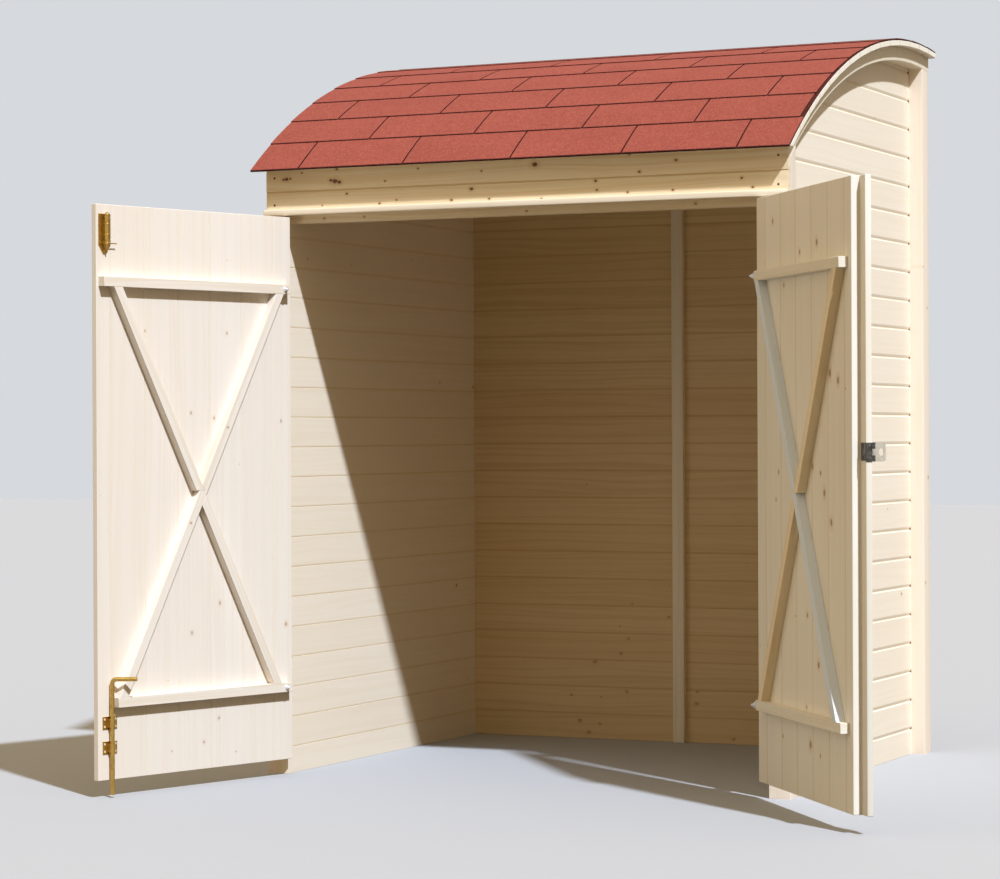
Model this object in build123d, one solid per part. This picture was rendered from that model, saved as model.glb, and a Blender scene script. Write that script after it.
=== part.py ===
from build123d import *
import math
import os

# A timber bicycle shelter with a curved roof and two ledged and braced doors.
# Lengths are in millimetres and angles in degrees. The ground is Z = 0, the rear face is Y = 0,
# the doors are at the front, towards -Y, and X = 0 is the middle of the width.

# Whole shelter
width = 1594.0  # across the outer faces of the posts
depth = 1274.0  # from the rear face to the front of the header

# Posts and wall boards
post_thickness = 42.0  # across the shelter
post_width = 64.0  # from front to back
side_board = 19.0
back_board = 19.0
centre_batten_width = 38.0
centre_batten_thickness = 20.0
centre_batten_shift = 16.0  # the joint of the back wall lies left of the middle

# Curved roof
roof_inner_radius = 1841.0  # to the underside of the deck
deck_thickness = 16.0
covering_thickness = 4.0
crown_set_back = 166.0  # the crown lies this far in front of the rear face
eave_overhang = 47.5  # the deck passes the header by this much
eave_drip = 5.0  # the covering passes the deck by this much
side_overhang = 23.0  # the deck passes the posts by this much
arch_beam_depth = 42.0
curved_fit = 0.3  # clearance below each curved seat

# Door opening and header
door_ground_gap = 47.0
leaf_height = 1556.0
head_gap = 6.0  # from the top of the leaves to the header
header_board = 19.0
lower_header_height = 69.0
upper_header_height = 76.0
drip_rail_height = 17.0
drip_rail_reach = 20.0
lintel_depth = 42.0
lintel_height = 31.0
stop_drop = 21.0  # the door stop hangs this far below the header
stop_gap = 5.0  # from the closed leaves to the door stop

# Door leaves
leaf_thickness = 18.0
leaf_side_gap = 5.0
meeting_gap = 5.0
left_open = 106.5
right_open = 128.5
batten_width = 27.0
batten_thickness = 24.0
ledge_inset = 209.0  # from the top or bottom of a leaf to the middle of its ledge
left_ledge_start = 20.0  # from the hinged edge
left_top_ledge_end = 8.0  # from the free edge
left_bottom_ledge_end = 53.0
right_ledge_start = 45.0
right_ledge_end = 25.0
brace_top_outer_inset = 59.0  # from the free edge, at the top ledge
brace_top_inner_inset = 64.0  # from the hinged edge, at the top ledge
brace_bottom_outer_inset = 72.0  # from the free edge, at the bottom ledge
brace_bottom_inner_inset = 78.0  # from the hinged edge, at the bottom ledge
brace_joint_shift = 12.0  # the braces are cut level this far above their crossing

# Strap hinges
hinge_stand_off = 6.0  # from the outer face of the leaf to the pin's axis
knuckle_radius = 5.5
pin_radius = 2.5
pin_clearance = 0.1
knuckle_height = 30.0
knuckle_gap = 0.5
hinge_gauge = 2.5
hinge_plate_reach = 55.0
hinge_turn_gap = 1.5  # from the moving knuckle to the fixed plate
strap_length = 320.0
strap_tip_height = 18.0

# Cover strip on the right leaf
astragal_thickness = 21.0
astragal_on_leaf = 30.0
astragal_past_leaf = 35.0
astragal_rebate = 5.0  # keeps the strip clear of the left leaf

# Drop bolt on the left leaf
drop_bolt_edge_inset = 40.0  # from the free edge to the rod's axis
drop_bolt_radius = 6.0
drop_bolt_stand_off = 12.0  # from the inner face of the leaf to the rod's axis
drop_bolt_ground_gap = 8.0
drop_bolt_length = 312.0
drop_bolt_bend = 12.0
drop_bolt_handle_length = 68.0
drop_bolt_handle_turn = 133.0  # from the free edge's direction to the handle
keeper_first_rise = 88.0  # from the bottom of the leaf to the middle of the lower keeper
keeper_spacing = 67.0
keeper_width = 50.0
keeper_height = 34.0
keeper_band_height = 24.0
keeper_gauge = 2.0

# Barrel bolt at the top of the left leaf
top_bolt_edge_inset = 29.0
top_bolt_radius = 4.0
top_bolt_stand_off = 12.0
top_bolt_travel = 30.0
top_bolt_head_inset = 23.0  # from the top of the leaf to the top of the rod
top_bolt_plate_inset = 26.0  # from the top of the leaf to the top of the plate
top_bolt_plate_width = 42.0
top_bolt_plate_height = 84.0
top_bolt_plate_gauge = 2.0
top_bolt_barrel_radius = 7.0
top_bolt_web_width = 8.0
top_bolt_tail = 16.0  # the rod's tapered end below the plate
top_bolt_tail_radius = 2.0
top_bolt_knob_radius = 1.5
top_bolt_knob_reach = 34.0
top_bolt_knob_rise = 4.0  # from the bottom of the plate to the knob
top_bolt_slot_height = 6.0
top_bolt_hole_spare = 8.0

# Hasp on the cover strip and its staple
hasp_rise = 883.0  # from the bottom of the leaf to the middle of the hasp
hasp_height = 46.0
hasp_gauge = 2.0
hasp_knuckle_radius = 3.5
hasp_pin_radius = 1.5
hasp_knuckle_height = 15.0
hasp_turn_gap = 1.0
hasp_strip_gap = 0.5  # from the knuckle to the cover strip
hasp_strap_length = 30.0
hasp_corner = 6.0
hasp_slot_centre = 18.5
hasp_slot_width = 12.0
hasp_slot_height = 18.0
staple_plate_width = 28.0
staple_plate_height = 50.0
staple_wire_radius = 1.75
staple_leg_spacing = 11.0
staple_past_strap = 12.0

# Rod and bolt clearances
rod_clearance = 0.3

# Places worked out from the sizes above
post_outer_x = width / 2
post_inner_x = post_outer_x - post_thickness
opening_half = post_inner_x - side_board
header_back_y = -depth + header_board
door_top = door_ground_gap + leaf_height
header_bottom = door_top + head_gap
header_joint = header_bottom + lower_header_height
header_top = header_joint + upper_header_height

roof_axis_y = -crown_set_back
header_run = depth - crown_set_back
roof_axis_z = header_top - math.sqrt(roof_inner_radius**2 - header_run**2)
roof_outer_radius = roof_inner_radius + deck_thickness
arch_beam_radius = roof_inner_radius - arch_beam_depth
eave_angle = math.asin((header_run + eave_overhang) / roof_outer_radius)
eave_level = roof_axis_z + roof_outer_radius * math.cos(eave_angle)
drip_angle = eave_angle + eave_drip / roof_outer_radius
crown_top = roof_axis_z + roof_outer_radius

leaf_width = opening_half - leaf_side_gap - meeting_gap / 2
hinge_x = opening_half - leaf_side_gap / 2
hinge_y = -depth - hinge_stand_off

# Each leaf is drawn closed, with its hinge pin on the Z axis, its free edge towards +X
# and its inner face towards +Y.
hinged_edge = leaf_side_gap / 2
free_edge = hinged_edge + leaf_width
outer_face = hinge_stand_off
inner_face = outer_face + leaf_thickness
batten_face = inner_face + batten_thickness
bottom_ledge_z = door_ground_gap + ledge_inset
top_ledge_z = door_top - ledge_inset
brace_low = bottom_ledge_z + batten_width / 2
brace_high = top_ledge_z - batten_width / 2
brace_bottom_inner_x = hinged_edge + brace_bottom_inner_inset
brace_bottom_outer_x = free_edge - brace_bottom_outer_inset
brace_top_inner_x = hinged_edge + brace_top_inner_inset
brace_top_outer_x = free_edge - brace_top_outer_inset
bottom_spread = brace_bottom_outer_x - brace_bottom_inner_x
top_spread = brace_top_outer_x - brace_top_inner_x
brace_crossing = brace_low + (brace_high - brace_low) * bottom_spread / (bottom_spread + top_spread)
brace_joint = brace_crossing + brace_joint_shift

strip_face = outer_face - astragal_thickness
strip_edge = free_edge + astragal_past_leaf
hasp_z = door_ground_gap + hasp_rise
hasp_pin_x = strip_edge + hasp_gauge / 2
hasp_pin_y = strip_face - hasp_knuckle_radius - hasp_strip_gap

drop_bolt_x = free_edge - drop_bolt_edge_inset
drop_bolt_y = inner_face + drop_bolt_stand_off
top_bolt_x = free_edge - top_bolt_edge_inset
top_bolt_y = inner_face + top_bolt_stand_off
top_bolt_head = door_top - top_bolt_head_inset
top_bolt_plate_top = door_top - top_bolt_plate_inset
top_bolt_plate_bottom = top_bolt_plate_top - top_bolt_plate_height

# The staple stands where the closed hasp's slot comes to rest
staple_x = 2 * hinge_x - hasp_pin_x - hasp_slot_centre
staple_tip_y = hasp_pin_y - staple_past_strap


def block(x_range, y_range, z_range):
    """Return a block between the given limits along X, Y and Z."""
    x_low, x_high = x_range
    y_low, y_high = y_range
    z_low, z_high = z_range
    middle = Pos((x_low + x_high) / 2, (y_low + y_high) / 2, (z_low + z_high) / 2)
    return middle * Box(x_high - x_low, y_high - y_low, z_high - z_low)


def upright(x, y, z_low, z_high, radius):
    """Return a vertical round bar."""
    return Pos(x, y, (z_low + z_high) / 2) * Cylinder(radius, z_high - z_low)


def on_face(points, y_low, y_high):
    """Return a plate whose outline is given in X and Z, between two depths in Y."""
    outline = Plane.XZ.offset(-y_high) * make_face(Polyline(*points, close=True))
    return extrude(outline, amount=y_high - y_low)


def roof_cylinder(radius, x_range):
    """Return a full cylinder about the roof's axis, between two places along X."""
    x_low, x_high = x_range
    place = Pos((x_low + x_high) / 2, roof_axis_y, roof_axis_z)
    return place * Rot(0, 90, 0) * Cylinder(radius, x_high - x_low)


def under_roof(shape, radius):
    """Return the shape cut off along the curve of the roof."""
    return shape & roof_cylinder(radius - curved_fit, (-post_outer_x, post_outer_x))


def mirrored(shape):
    """Return the shape on the other side of X = 0."""
    return mirror(shape, about=Plane.YZ)


def roof_layer(inner, outer, end_angle):
    """Return a curved layer from the rear face to a given angle, where its end is square to the curve."""
    reach = 2 * outer
    half = post_outer_x + side_overhang
    end = (roof_axis_y - reach * math.sin(end_angle), roof_axis_z + reach * math.cos(end_angle))
    corners = [
        (roof_axis_y, roof_axis_z),
        (0, roof_axis_z),
        (0, roof_axis_z + reach),
        (roof_axis_y, roof_axis_z + reach),
        end,
    ]
    wedge = extrude(Plane.YZ.offset(-half) * make_face(Polyline(*corners, close=True)), amount=2 * half)
    ring = roof_cylinder(outer, (-half, half)) - roof_cylinder(inner, (-half, half))
    return ring & wedge


def roof_deck():
    """Return the curved deck, cut off level at the eave."""
    half = post_outer_x + side_overhang
    below = block((-half, half), (roof_axis_y - roof_outer_radius, 0), (roof_axis_z, eave_level))
    return roof_layer(roof_inner_radius, roof_outer_radius, eave_angle) - below


def roof_covering():
    """Return the sheet under the shingles, which passes the deck at the eave."""
    return roof_layer(roof_outer_radius, roof_outer_radius + covering_thickness, drip_angle)


def rebated_for_header(shape):
    """Return a front upright cut back where the header boards are nailed across it."""
    boards = block((-post_outer_x, post_outer_x), (-depth, header_back_y), (header_bottom, crown_top))
    return shape - boards


def front_post():
    """Return the right front post."""
    post = block((post_inner_x, post_outer_x), (-depth, -depth + post_width), (0, crown_top))
    return rebated_for_header(under_roof(post, arch_beam_radius))


def rear_post():
    """Return the right rear post."""
    post = block((post_inner_x, post_outer_x), (-post_width, 0), (0, crown_top))
    return under_roof(post, arch_beam_radius)


def arch_beam():
    """Return the curved beam that carries the right edge of the deck."""
    beam = block((post_inner_x, post_outer_x), (header_back_y, 0), (roof_axis_z, crown_top))
    beam = under_roof(beam, roof_inner_radius)
    return beam - roof_cylinder(arch_beam_radius, (post_inner_x, post_outer_x))


def side_wall():
    """Return the right wall of boards, inside the posts."""
    wall = block((opening_half, post_inner_x), (-depth, 0), (0, crown_top))
    return rebated_for_header(under_roof(wall, roof_inner_radius))


def back_wall(x_range):
    """Return a panel of the rear wall."""
    return under_roof(block(x_range, (-back_board, 0), (0, crown_top)), roof_inner_radius)


def centre_batten():
    """Return the upright that covers the joint of the rear wall."""
    x_range = (-centre_batten_shift - centre_batten_width / 2, -centre_batten_shift + centre_batten_width / 2)
    y_range = (-back_board - centre_batten_thickness, -back_board)
    return under_roof(block(x_range, y_range, (0, crown_top)), roof_inner_radius)


def header_boards():
    """Return the lower and the upper header board."""
    across = (-post_outer_x, post_outer_x)
    lower = block(across, (-depth, header_back_y), (header_bottom, header_joint))
    upper = block(across, (-depth, header_back_y), (header_joint, crown_top))
    return lower, under_roof(upper, roof_inner_radius)


def drip_rail():
    """Return the rail along the foot of the header."""
    z_range = (header_bottom, header_bottom + drip_rail_height)
    return block((-post_outer_x, post_outer_x), (-depth - drip_rail_reach, -depth), z_range)


def lintel():
    """Return the beam behind the header, with the door stop and the hole for the top bolt."""
    back = header_back_y + lintel_depth
    across = (-opening_half, opening_half)
    beam = block(across, (header_back_y, back), (header_bottom, header_bottom + lintel_height))
    stop_y = hinge_y + inner_face + stop_gap
    beam += block(across, (stop_y, back), (header_bottom - stop_drop, header_bottom))
    hole_top = top_bolt_head + top_bolt_travel + top_bolt_hole_spare
    hole_radius = top_bolt_radius + rod_clearance
    hole_bottom = header_bottom - stop_drop
    return beam - upright(-hinge_x + top_bolt_x, hinge_y + top_bolt_y, hole_bottom, hole_top, hole_radius)


def hinge_levels():
    """Return the heights of the two hinges."""
    return bottom_ledge_z, top_ledge_z


def hinge_plate(level):
    """Return a fixed hinge plate with its two knuckles and its pin."""
    half_moving = knuckle_height / 2 + knuckle_gap
    half_all = half_moving + knuckle_height
    y_range = (outer_face - hinge_gauge, outer_face)
    plate = block((-hinge_plate_reach, 0), y_range, (level - half_all, level + half_all))
    cut_back = -knuckle_radius - hinge_turn_gap
    plate -= block((cut_back, 0), y_range, (level - half_moving, level + half_moving))
    for side in (-1, 1):
        ends = sorted((level + side * half_moving, level + side * half_all))
        plate += upright(0, 0, ends[0], ends[1], knuckle_radius)
    return plate + upright(0, 0, level - half_all, level + half_all, pin_radius)


def hinge_strap(level):
    """Return the moving strap of a hinge, tapered towards its tip."""
    half = knuckle_height / 2
    tip = strap_tip_height / 2
    points = [(0, level - half), (strap_length, level - tip), (strap_length, level + tip), (0, level + half)]
    strap = on_face(points, outer_face - hinge_gauge, outer_face)
    strap += upright(0, 0, level - half, level + half, knuckle_radius)
    return strap - upright(0, 0, level - half, level + half, pin_radius + pin_clearance)


def both_hinges(piece):
    """Return the same hinge piece at both hinge levels."""
    low, high = hinge_levels()
    return piece(low) + piece(high)


def leaf_panel():
    """Return the boards of a leaf."""
    return block((hinged_edge, free_edge), (outer_face, inner_face), (door_ground_gap, door_top))


def ledge(level, start_inset, end_inset):
    """Return a horizontal batten on the inner face of a leaf."""
    x_range = (hinged_edge + start_inset, free_edge - end_inset)
    z_range = (level - batten_width / 2, level + batten_width / 2)
    return block(x_range, (inner_face, batten_face), z_range)


def brace_strip(x_low, x_high):
    """Return a whole diagonal batten, from the bottom ledge to the top ledge."""
    slope = math.atan2(x_high - x_low, brace_high - brace_low)
    half = batten_width / 2 / math.cos(slope)
    points = [
        (x_low - half, brace_low),
        (x_low + half, brace_low),
        (x_high + half, brace_high),
        (x_high - half, brace_high),
    ]
    return on_face(points, inner_face, batten_face)


def largest(shape):
    """Return the largest solid of a cut shape."""
    return shape.solids().sort_by(SortBy.VOLUME)[-1]


def braces():
    """Return the four half battens of the cross, the outer ones whole and the inner ones butted."""
    rising = brace_strip(brace_bottom_inner_x, brace_top_outer_x)
    falling = brace_strip(brace_bottom_outer_x, brace_top_inner_x)
    x_range = (hinged_edge, free_edge)
    y_range = (inner_face, batten_face)
    above = block(x_range, y_range, (brace_joint, brace_high))
    below = block(x_range, y_range, (brace_low, brace_joint))
    return {
        "brace_top_outer": rising & above,
        "brace_top_inner": largest((falling & above) - rising),
        "brace_bottom_outer": falling & below,
        "brace_bottom_inner": largest((rising & below) - falling),
    }


def astragal():
    """Return the cover strip of the right leaf, rebated where it laps the left leaf."""
    z_range = (door_ground_gap, door_top)
    strip = block((free_edge - astragal_on_leaf, strip_edge), (strip_face, outer_face), z_range)
    return strip - block((free_edge, strip_edge), (outer_face - astragal_rebate, outer_face), z_range)


def drop_bolt():
    """Return the drop bolt: a rod bent at its top into a handle."""
    bottom = drop_bolt_ground_gap
    top = bottom + drop_bolt_length
    turn = math.radians(drop_bolt_handle_turn)
    reach_x = drop_bolt_handle_length * math.cos(turn)
    reach_y = drop_bolt_handle_length * math.sin(turn)
    corner = (drop_bolt_x, drop_bolt_y, top)
    tip = (drop_bolt_x + reach_x, drop_bolt_y + reach_y, top)
    path = FilletPolyline((drop_bolt_x, drop_bolt_y, bottom), corner, tip, radius=drop_bolt_bend)
    section = Plane(origin=(drop_bolt_x, drop_bolt_y, bottom), z_dir=(0, 0, 1)) * Circle(drop_bolt_radius)
    return sweep(section, path=path)


def keeper(level):
    """Return a keeper of the drop bolt: a plate with a band round the rod."""
    half = keeper_height / 2
    band_low = level - keeper_band_height / 2
    band_high = level + keeper_band_height / 2
    x_range = (drop_bolt_x - keeper_width / 2, drop_bolt_x + keeper_width / 2)
    plate = block(x_range, (inner_face, inner_face + keeper_gauge), (level - half, level + half))
    bore = drop_bolt_radius + rod_clearance
    band = bore + keeper_gauge
    plate += block((drop_bolt_x - band, drop_bolt_x + band), (inner_face, drop_bolt_y), (band_low, band_high))
    plate += upright(drop_bolt_x, drop_bolt_y, band_low, band_high, band)
    return plate - upright(drop_bolt_x, drop_bolt_y, level - half, level + half, bore)


def keepers():
    """Return both keepers of the drop bolt."""
    first = door_ground_gap + keeper_first_rise
    return keeper(first) + keeper(first + keeper_spacing)


def top_bolt_knob_z():
    """Return the height of the knob while the top bolt is down."""
    return top_bolt_plate_bottom + top_bolt_knob_rise


def top_bolt_plate():
    """Return the top bolt's plate and barrel, slotted for the knob."""
    low = top_bolt_plate_bottom
    high = top_bolt_plate_top
    half = top_bolt_plate_width / 2
    back = (inner_face, inner_face + top_bolt_plate_gauge)
    plate = block((top_bolt_x - half, top_bolt_x + half), back, (low, high))
    half_web = top_bolt_web_width / 2
    plate += block((top_bolt_x - half_web, top_bolt_x + half_web), (inner_face, top_bolt_y), (low, high))
    plate += upright(top_bolt_x, top_bolt_y, low, high, top_bolt_barrel_radius)
    plate -= upright(top_bolt_x, top_bolt_y, low, high, top_bolt_radius + rod_clearance)
    slot_x = (top_bolt_x - top_bolt_barrel_radius, top_bolt_x)
    half_slot = top_bolt_slot_height / 2
    slot_y = (top_bolt_y - half_slot, top_bolt_y + half_slot)
    return plate - block(slot_x, slot_y, (low, top_bolt_knob_z() + top_bolt_travel + half_slot))


def top_bolt():
    """Return the top bolt: a rod with a tapered tail and a side knob."""
    rod = upright(top_bolt_x, top_bolt_y, top_bolt_plate_bottom, top_bolt_head, top_bolt_radius)
    tail_place = Pos(top_bolt_x, top_bolt_y, top_bolt_plate_bottom - top_bolt_tail / 2)
    rod += tail_place * Cone(top_bolt_tail_radius, top_bolt_radius, top_bolt_tail)
    knob_place = Pos(top_bolt_x - top_bolt_knob_reach / 2, top_bolt_y, top_bolt_knob_z())
    return rod + knob_place * Rot(0, 90, 0) * Cylinder(top_bolt_knob_radius, top_bolt_knob_reach)


def hasp_upright(z_low, z_high, radius):
    """Return a round bar on the axis of the hasp's pin, between two heights from its middle."""
    return upright(hasp_pin_x, hasp_pin_y, hasp_z + z_low, hasp_z + z_high, radius)


def hasp_base():
    """Return the hasp's fixed plate on the edge of the cover strip, with its pin."""
    half_gap = hasp_knuckle_height / 2 + knuckle_gap
    half = hasp_height / 2
    x_range = (strip_edge, strip_edge + hasp_gauge)
    base = block(x_range, (hasp_pin_y, outer_face - astragal_rebate), (hasp_z - half, hasp_z + half))
    clear = hasp_knuckle_radius + hasp_turn_gap
    base -= block(x_range, (hasp_pin_y, hasp_pin_y + clear), (hasp_z - half_gap, hasp_z + half_gap))
    for side in (-1, 1):
        ends = sorted((side * half_gap, side * half))
        base += hasp_upright(ends[0], ends[1], hasp_knuckle_radius)
    return base + hasp_upright(-half, half, hasp_pin_radius)


def hasp_strap():
    """Return the hasp's moving strap, standing straight out from the leaf."""
    half_knuckle = hasp_knuckle_height / 2
    half = hasp_height / 2
    x_range = (hasp_pin_x - hasp_gauge / 2, hasp_pin_x + hasp_gauge / 2)
    tip = hasp_pin_y - hasp_strap_length
    near = hasp_pin_y - hasp_knuckle_radius - hasp_turn_gap
    strap = block(x_range, (tip, near), (hasp_z - half, hasp_z + half))
    outer_corners = strap.edges().filter_by(Axis.X).group_by(Axis.Y)[0]
    strap = fillet(outer_corners, hasp_corner)
    strap += block(x_range, (near, hasp_pin_y), (hasp_z - half_knuckle, hasp_z + half_knuckle))
    strap += hasp_upright(-half_knuckle, half_knuckle, hasp_knuckle_radius)
    strap -= hasp_upright(-half_knuckle, half_knuckle, hasp_pin_radius + pin_clearance)
    slot_middle = (x_range[0], hasp_pin_y - hasp_slot_centre, hasp_z)
    slot_plane = Plane(origin=slot_middle, x_dir=(0, 0, 1), z_dir=(1, 0, 0))
    slot = extrude(slot_plane * SlotOverall(hasp_slot_height, hasp_slot_width), amount=hasp_gauge)
    return strap - slot


def hasp_staple():
    """Return the staple on the outer face of the left leaf: a plate and a loop of wire."""
    half_width = staple_plate_width / 2
    half_height = staple_plate_height / 2
    plate_y = (outer_face - hasp_gauge, outer_face)
    plate_z = (hasp_z - half_height, hasp_z + half_height)
    plate = block((staple_x - half_width, staple_x + half_width), plate_y, plate_z)
    half_leg = staple_leg_spacing / 2
    start = (staple_x, plate_y[0], hasp_z - half_leg)
    bend_low = (staple_x, staple_tip_y + half_leg, hasp_z - half_leg)
    bend_tip = (staple_x, staple_tip_y, hasp_z)
    bend_high = (staple_x, staple_tip_y + half_leg, hasp_z + half_leg)
    end = (staple_x, plate_y[0], hasp_z + half_leg)
    path = Wire([Line(start, bend_low), ThreePointArc(bend_low, bend_tip, bend_high), Line(bend_high, end)])
    section = Plane(origin=start, z_dir=(0, -1, 0)) * Circle(staple_wire_radius)
    return plate + sweep(section, path=path)


def fix_left(shape):
    """Return a fixed piece of the left door's hinges at its place."""
    return Pos(-hinge_x, hinge_y, 0) * shape


def hang_left(shape):
    """Return a piece of the left leaf at its place, with the leaf open."""
    return fix_left(Rot(0, 0, -left_open) * shape)


def fix_right(shape):
    """Return a fixed piece of the right door's hinges at its place."""
    return Pos(hinge_x, hinge_y, 0) * mirrored(shape)


def hang_right(shape):
    """Return a piece of the right leaf at its place, with the leaf open."""
    return Pos(hinge_x, hinge_y, 0) * Rot(0, 0, right_open) * mirrored(shape)


def fixed_parts():
    """Return the standing parts of the shelter by name."""
    lower_header, upper_header = header_boards()
    parts = {
        "back_wall_left": back_wall((-opening_half, -centre_batten_shift)),
        "back_wall_right": back_wall((-centre_batten_shift, opening_half)),
        "back_wall_batten": centre_batten(),
        "lintel": lintel(),
        "header_board_lower": lower_header,
        "header_board_upper": upper_header,
        "drip_rail": drip_rail(),
        "roof_deck": roof_deck(),
        "roof_covering": roof_covering(),
        "hinge_plates_left": fix_left(both_hinges(hinge_plate)),
        "hinge_plates_right": fix_right(both_hinges(hinge_plate)),
    }
    for name, shape in {
        "front_post": front_post(),
        "rear_post": rear_post(),
        "arch_beam": arch_beam(),
        "side_wall": side_wall(),
    }.items():
        parts[name + "_right"] = shape
        parts[name + "_left"] = mirrored(shape)
    return parts


def left_door_parts():
    """Return the parts of the left door, its bolts and its staple by name."""
    parts = {
        "left_door_panel": leaf_panel(),
        "left_door_ledge_top": ledge(top_ledge_z, left_ledge_start, left_top_ledge_end),
        "left_door_ledge_bottom": ledge(bottom_ledge_z, left_ledge_start, left_bottom_ledge_end),
        "left_door_hinge_straps": both_hinges(hinge_strap),
        "drop_bolt": drop_bolt(),
        "drop_bolt_keepers": keepers(),
        "top_bolt": top_bolt(),
        "top_bolt_plate": top_bolt_plate(),
        "hasp_staple": hasp_staple(),
    }
    for name, shape in braces().items():
        parts["left_door_" + name] = shape
    return parts


def right_door_parts():
    """Return the parts of the right door, its cover strip and its hasp by name."""
    parts = {
        "right_door_panel": leaf_panel(),
        "right_door_ledge_top": ledge(top_ledge_z, right_ledge_start, right_ledge_end),
        "right_door_ledge_bottom": ledge(bottom_ledge_z, right_ledge_start, right_ledge_end),
        "right_door_hinge_straps": both_hinges(hinge_strap),
        "astragal": astragal(),
        "hasp_base": hasp_base(),
        "hasp_strap": hasp_strap(),
    }
    for name, shape in braces().items():
        parts["right_door_" + name] = shape
    return parts


def all_parts():
    """Return every part of the shelter at its place by name."""
    parts = fixed_parts()
    for name, shape in left_door_parts().items():
        parts[name] = hang_left(shape)
    for name, shape in right_door_parts().items():
        parts[name] = hang_right(shape)
    return parts


os.makedirs("parts", exist_ok=True)
for part_name, part_shape in all_parts().items():
    export_step(part_shape, f"parts/{part_name}.step")
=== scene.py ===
"""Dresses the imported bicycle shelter: boards, shingles, battens, hinges, bolts, hasp, finishes, light and camera."""

import logging
import math
from contextlib import contextmanager
from dataclasses import dataclass
from enum import Enum
from typing import Callable, Iterator, Sequence

import bmesh
import bpy
from mathutils import Matrix, Vector


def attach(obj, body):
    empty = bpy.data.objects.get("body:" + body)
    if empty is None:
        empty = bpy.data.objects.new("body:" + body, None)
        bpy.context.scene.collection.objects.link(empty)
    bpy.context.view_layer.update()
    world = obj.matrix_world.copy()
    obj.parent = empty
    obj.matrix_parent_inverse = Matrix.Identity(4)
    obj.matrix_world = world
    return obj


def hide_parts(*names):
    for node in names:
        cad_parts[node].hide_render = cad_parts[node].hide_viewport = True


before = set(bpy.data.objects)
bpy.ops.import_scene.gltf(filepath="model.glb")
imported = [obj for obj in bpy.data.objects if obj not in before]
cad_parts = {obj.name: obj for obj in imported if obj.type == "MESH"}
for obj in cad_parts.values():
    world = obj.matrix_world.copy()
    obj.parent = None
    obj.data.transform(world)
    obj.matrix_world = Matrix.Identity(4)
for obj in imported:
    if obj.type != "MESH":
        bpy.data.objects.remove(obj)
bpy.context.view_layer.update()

log = logging.getLogger("bike_shelter")

TOUCH = 1e-5  # places nearer than this are the same, in metres
WELD = 1e-6  # points nearer than this are merged
NAIL_SUNK, NAIL_PROUD = 0.004, 0.0004  # how far a nail's head goes into the wood and stands out of it
SCREW_HEIGHT, SLOT_DEPTH, SLOT_SHARE = 0.0014, 0.0005, 0.45  # a screw's head, and its rim as a share of the radius
X, Y, Z = range(3)
SIDES = ((1, "right"), (-1, "left"))

Point = tuple[float, float, float]
Colour = tuple[float, float, float]  # linear values
Shade = tuple[int, int, int]  # a colour of 0 to 255, as seen on a screen
Tones = tuple[Shade, Shade, Shade]  # pale wood, warm wood and its rings
Knot = tuple[float, float, float]  # its place along and across the grain, and its radius
Test = Callable[[Vector], bool]
Plane = tuple[Vector, Vector]  # a point and a normal
Socket = bpy.types.NodeSocket


def tint(shade: Shade) -> Colour:
    """Turns a colour as seen on a screen into Blender's linear values.

    Args:
        shade: The colour, of 0 to 255.

    Returns:
        The three linear values.
    """
    shares = [value / 255 for value in shade]
    return tuple(s / 12.92 if s <= 0.04045 else ((s + 0.055) / 1.055) ** 2.4 for s in shares)


def plane(axis: int, place: float, way: int = 1) -> Plane:
    """Describes a plane square to an axis.

    Args:
        axis: X, Y or Z.
        place: Where the plane crosses it.
        way: 1 or -1, the way that the plane faces.

    Returns:
        A point and the normal.
    """
    normal = Vector([float(axis == k) for k in range(3)])
    return normal * place, normal * way


@dataclass(frozen=True)
class Shelter:
    """Sizes of the shelter that several pieces share, in metres."""

    post_outer: float = 0.797
    post_inner: float = 0.755
    opening: float = 0.736
    front: float = -1.274
    header_back: float = -1.255
    header_bottom: float = 1.609
    header_joint: float = 1.678
    axis_y: float = -0.166
    axis_z: float = 0.283756
    deck_inner: float = 1.841
    deck_outer: float = 1.857
    beam_inner: float = 1.799
    roof_half: float = 0.820
    eave_angle: float = math.radians(38.48)
    fit: float = 0.0003
    uncut: float = 2.2  # the height of boards and posts before the roof's curve is sawn

    @property
    def axis(self) -> Point:
        """Returns a point on the roof's axis."""
        return 0.0, self.axis_y, self.axis_z

    @property
    def rear_angle(self) -> float:
        """Returns the angle behind the crown at which the roof meets the rear face."""
        return math.asin(-self.axis_y / self.deck_outer)

    def on_curve(self, radius: float, angle: float) -> tuple[float, float]:
        """Finds a place on the roof's curve.

        Args:
            radius: The distance from the roof's axis.
            angle: The angle from the crown, positive towards the front.

        Returns:
            Its Y and Z.
        """
        return self.axis_y - radius * math.sin(angle), self.axis_z + radius * math.cos(angle)

    def planes(self, radius: float, steps: int = 24, span: Sequence[float] = (-6.0, 42.0)) -> list[Plane]:
        """Finds planes that touch the roof's curve, to saw a piece off just under it.

        Args:
            radius: The curve's radius.
            steps: The number of steps between the planes.
            span: The first and the last plane's angle from the crown, in degrees.

        Returns:
            A point and an outward normal for each plane.
        """
        start, end = (math.radians(angle) for angle in span)
        found = []
        for number in range(steps + 1):
            angle = start + (end - start) * number / steps
            y, z = self.on_curve(radius - self.fit, angle)
            found.append((Vector((0, y, z)), Vector((0, -math.sin(angle), math.cos(angle)))))
        return found


PLAN = Shelter()


class Body(Enum):
    """The bodies that a visual piece rides on."""

    SHELTER = "shelter"
    LEFT_DOOR = "left_door"
    RIGHT_DOOR = "right_door"


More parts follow.
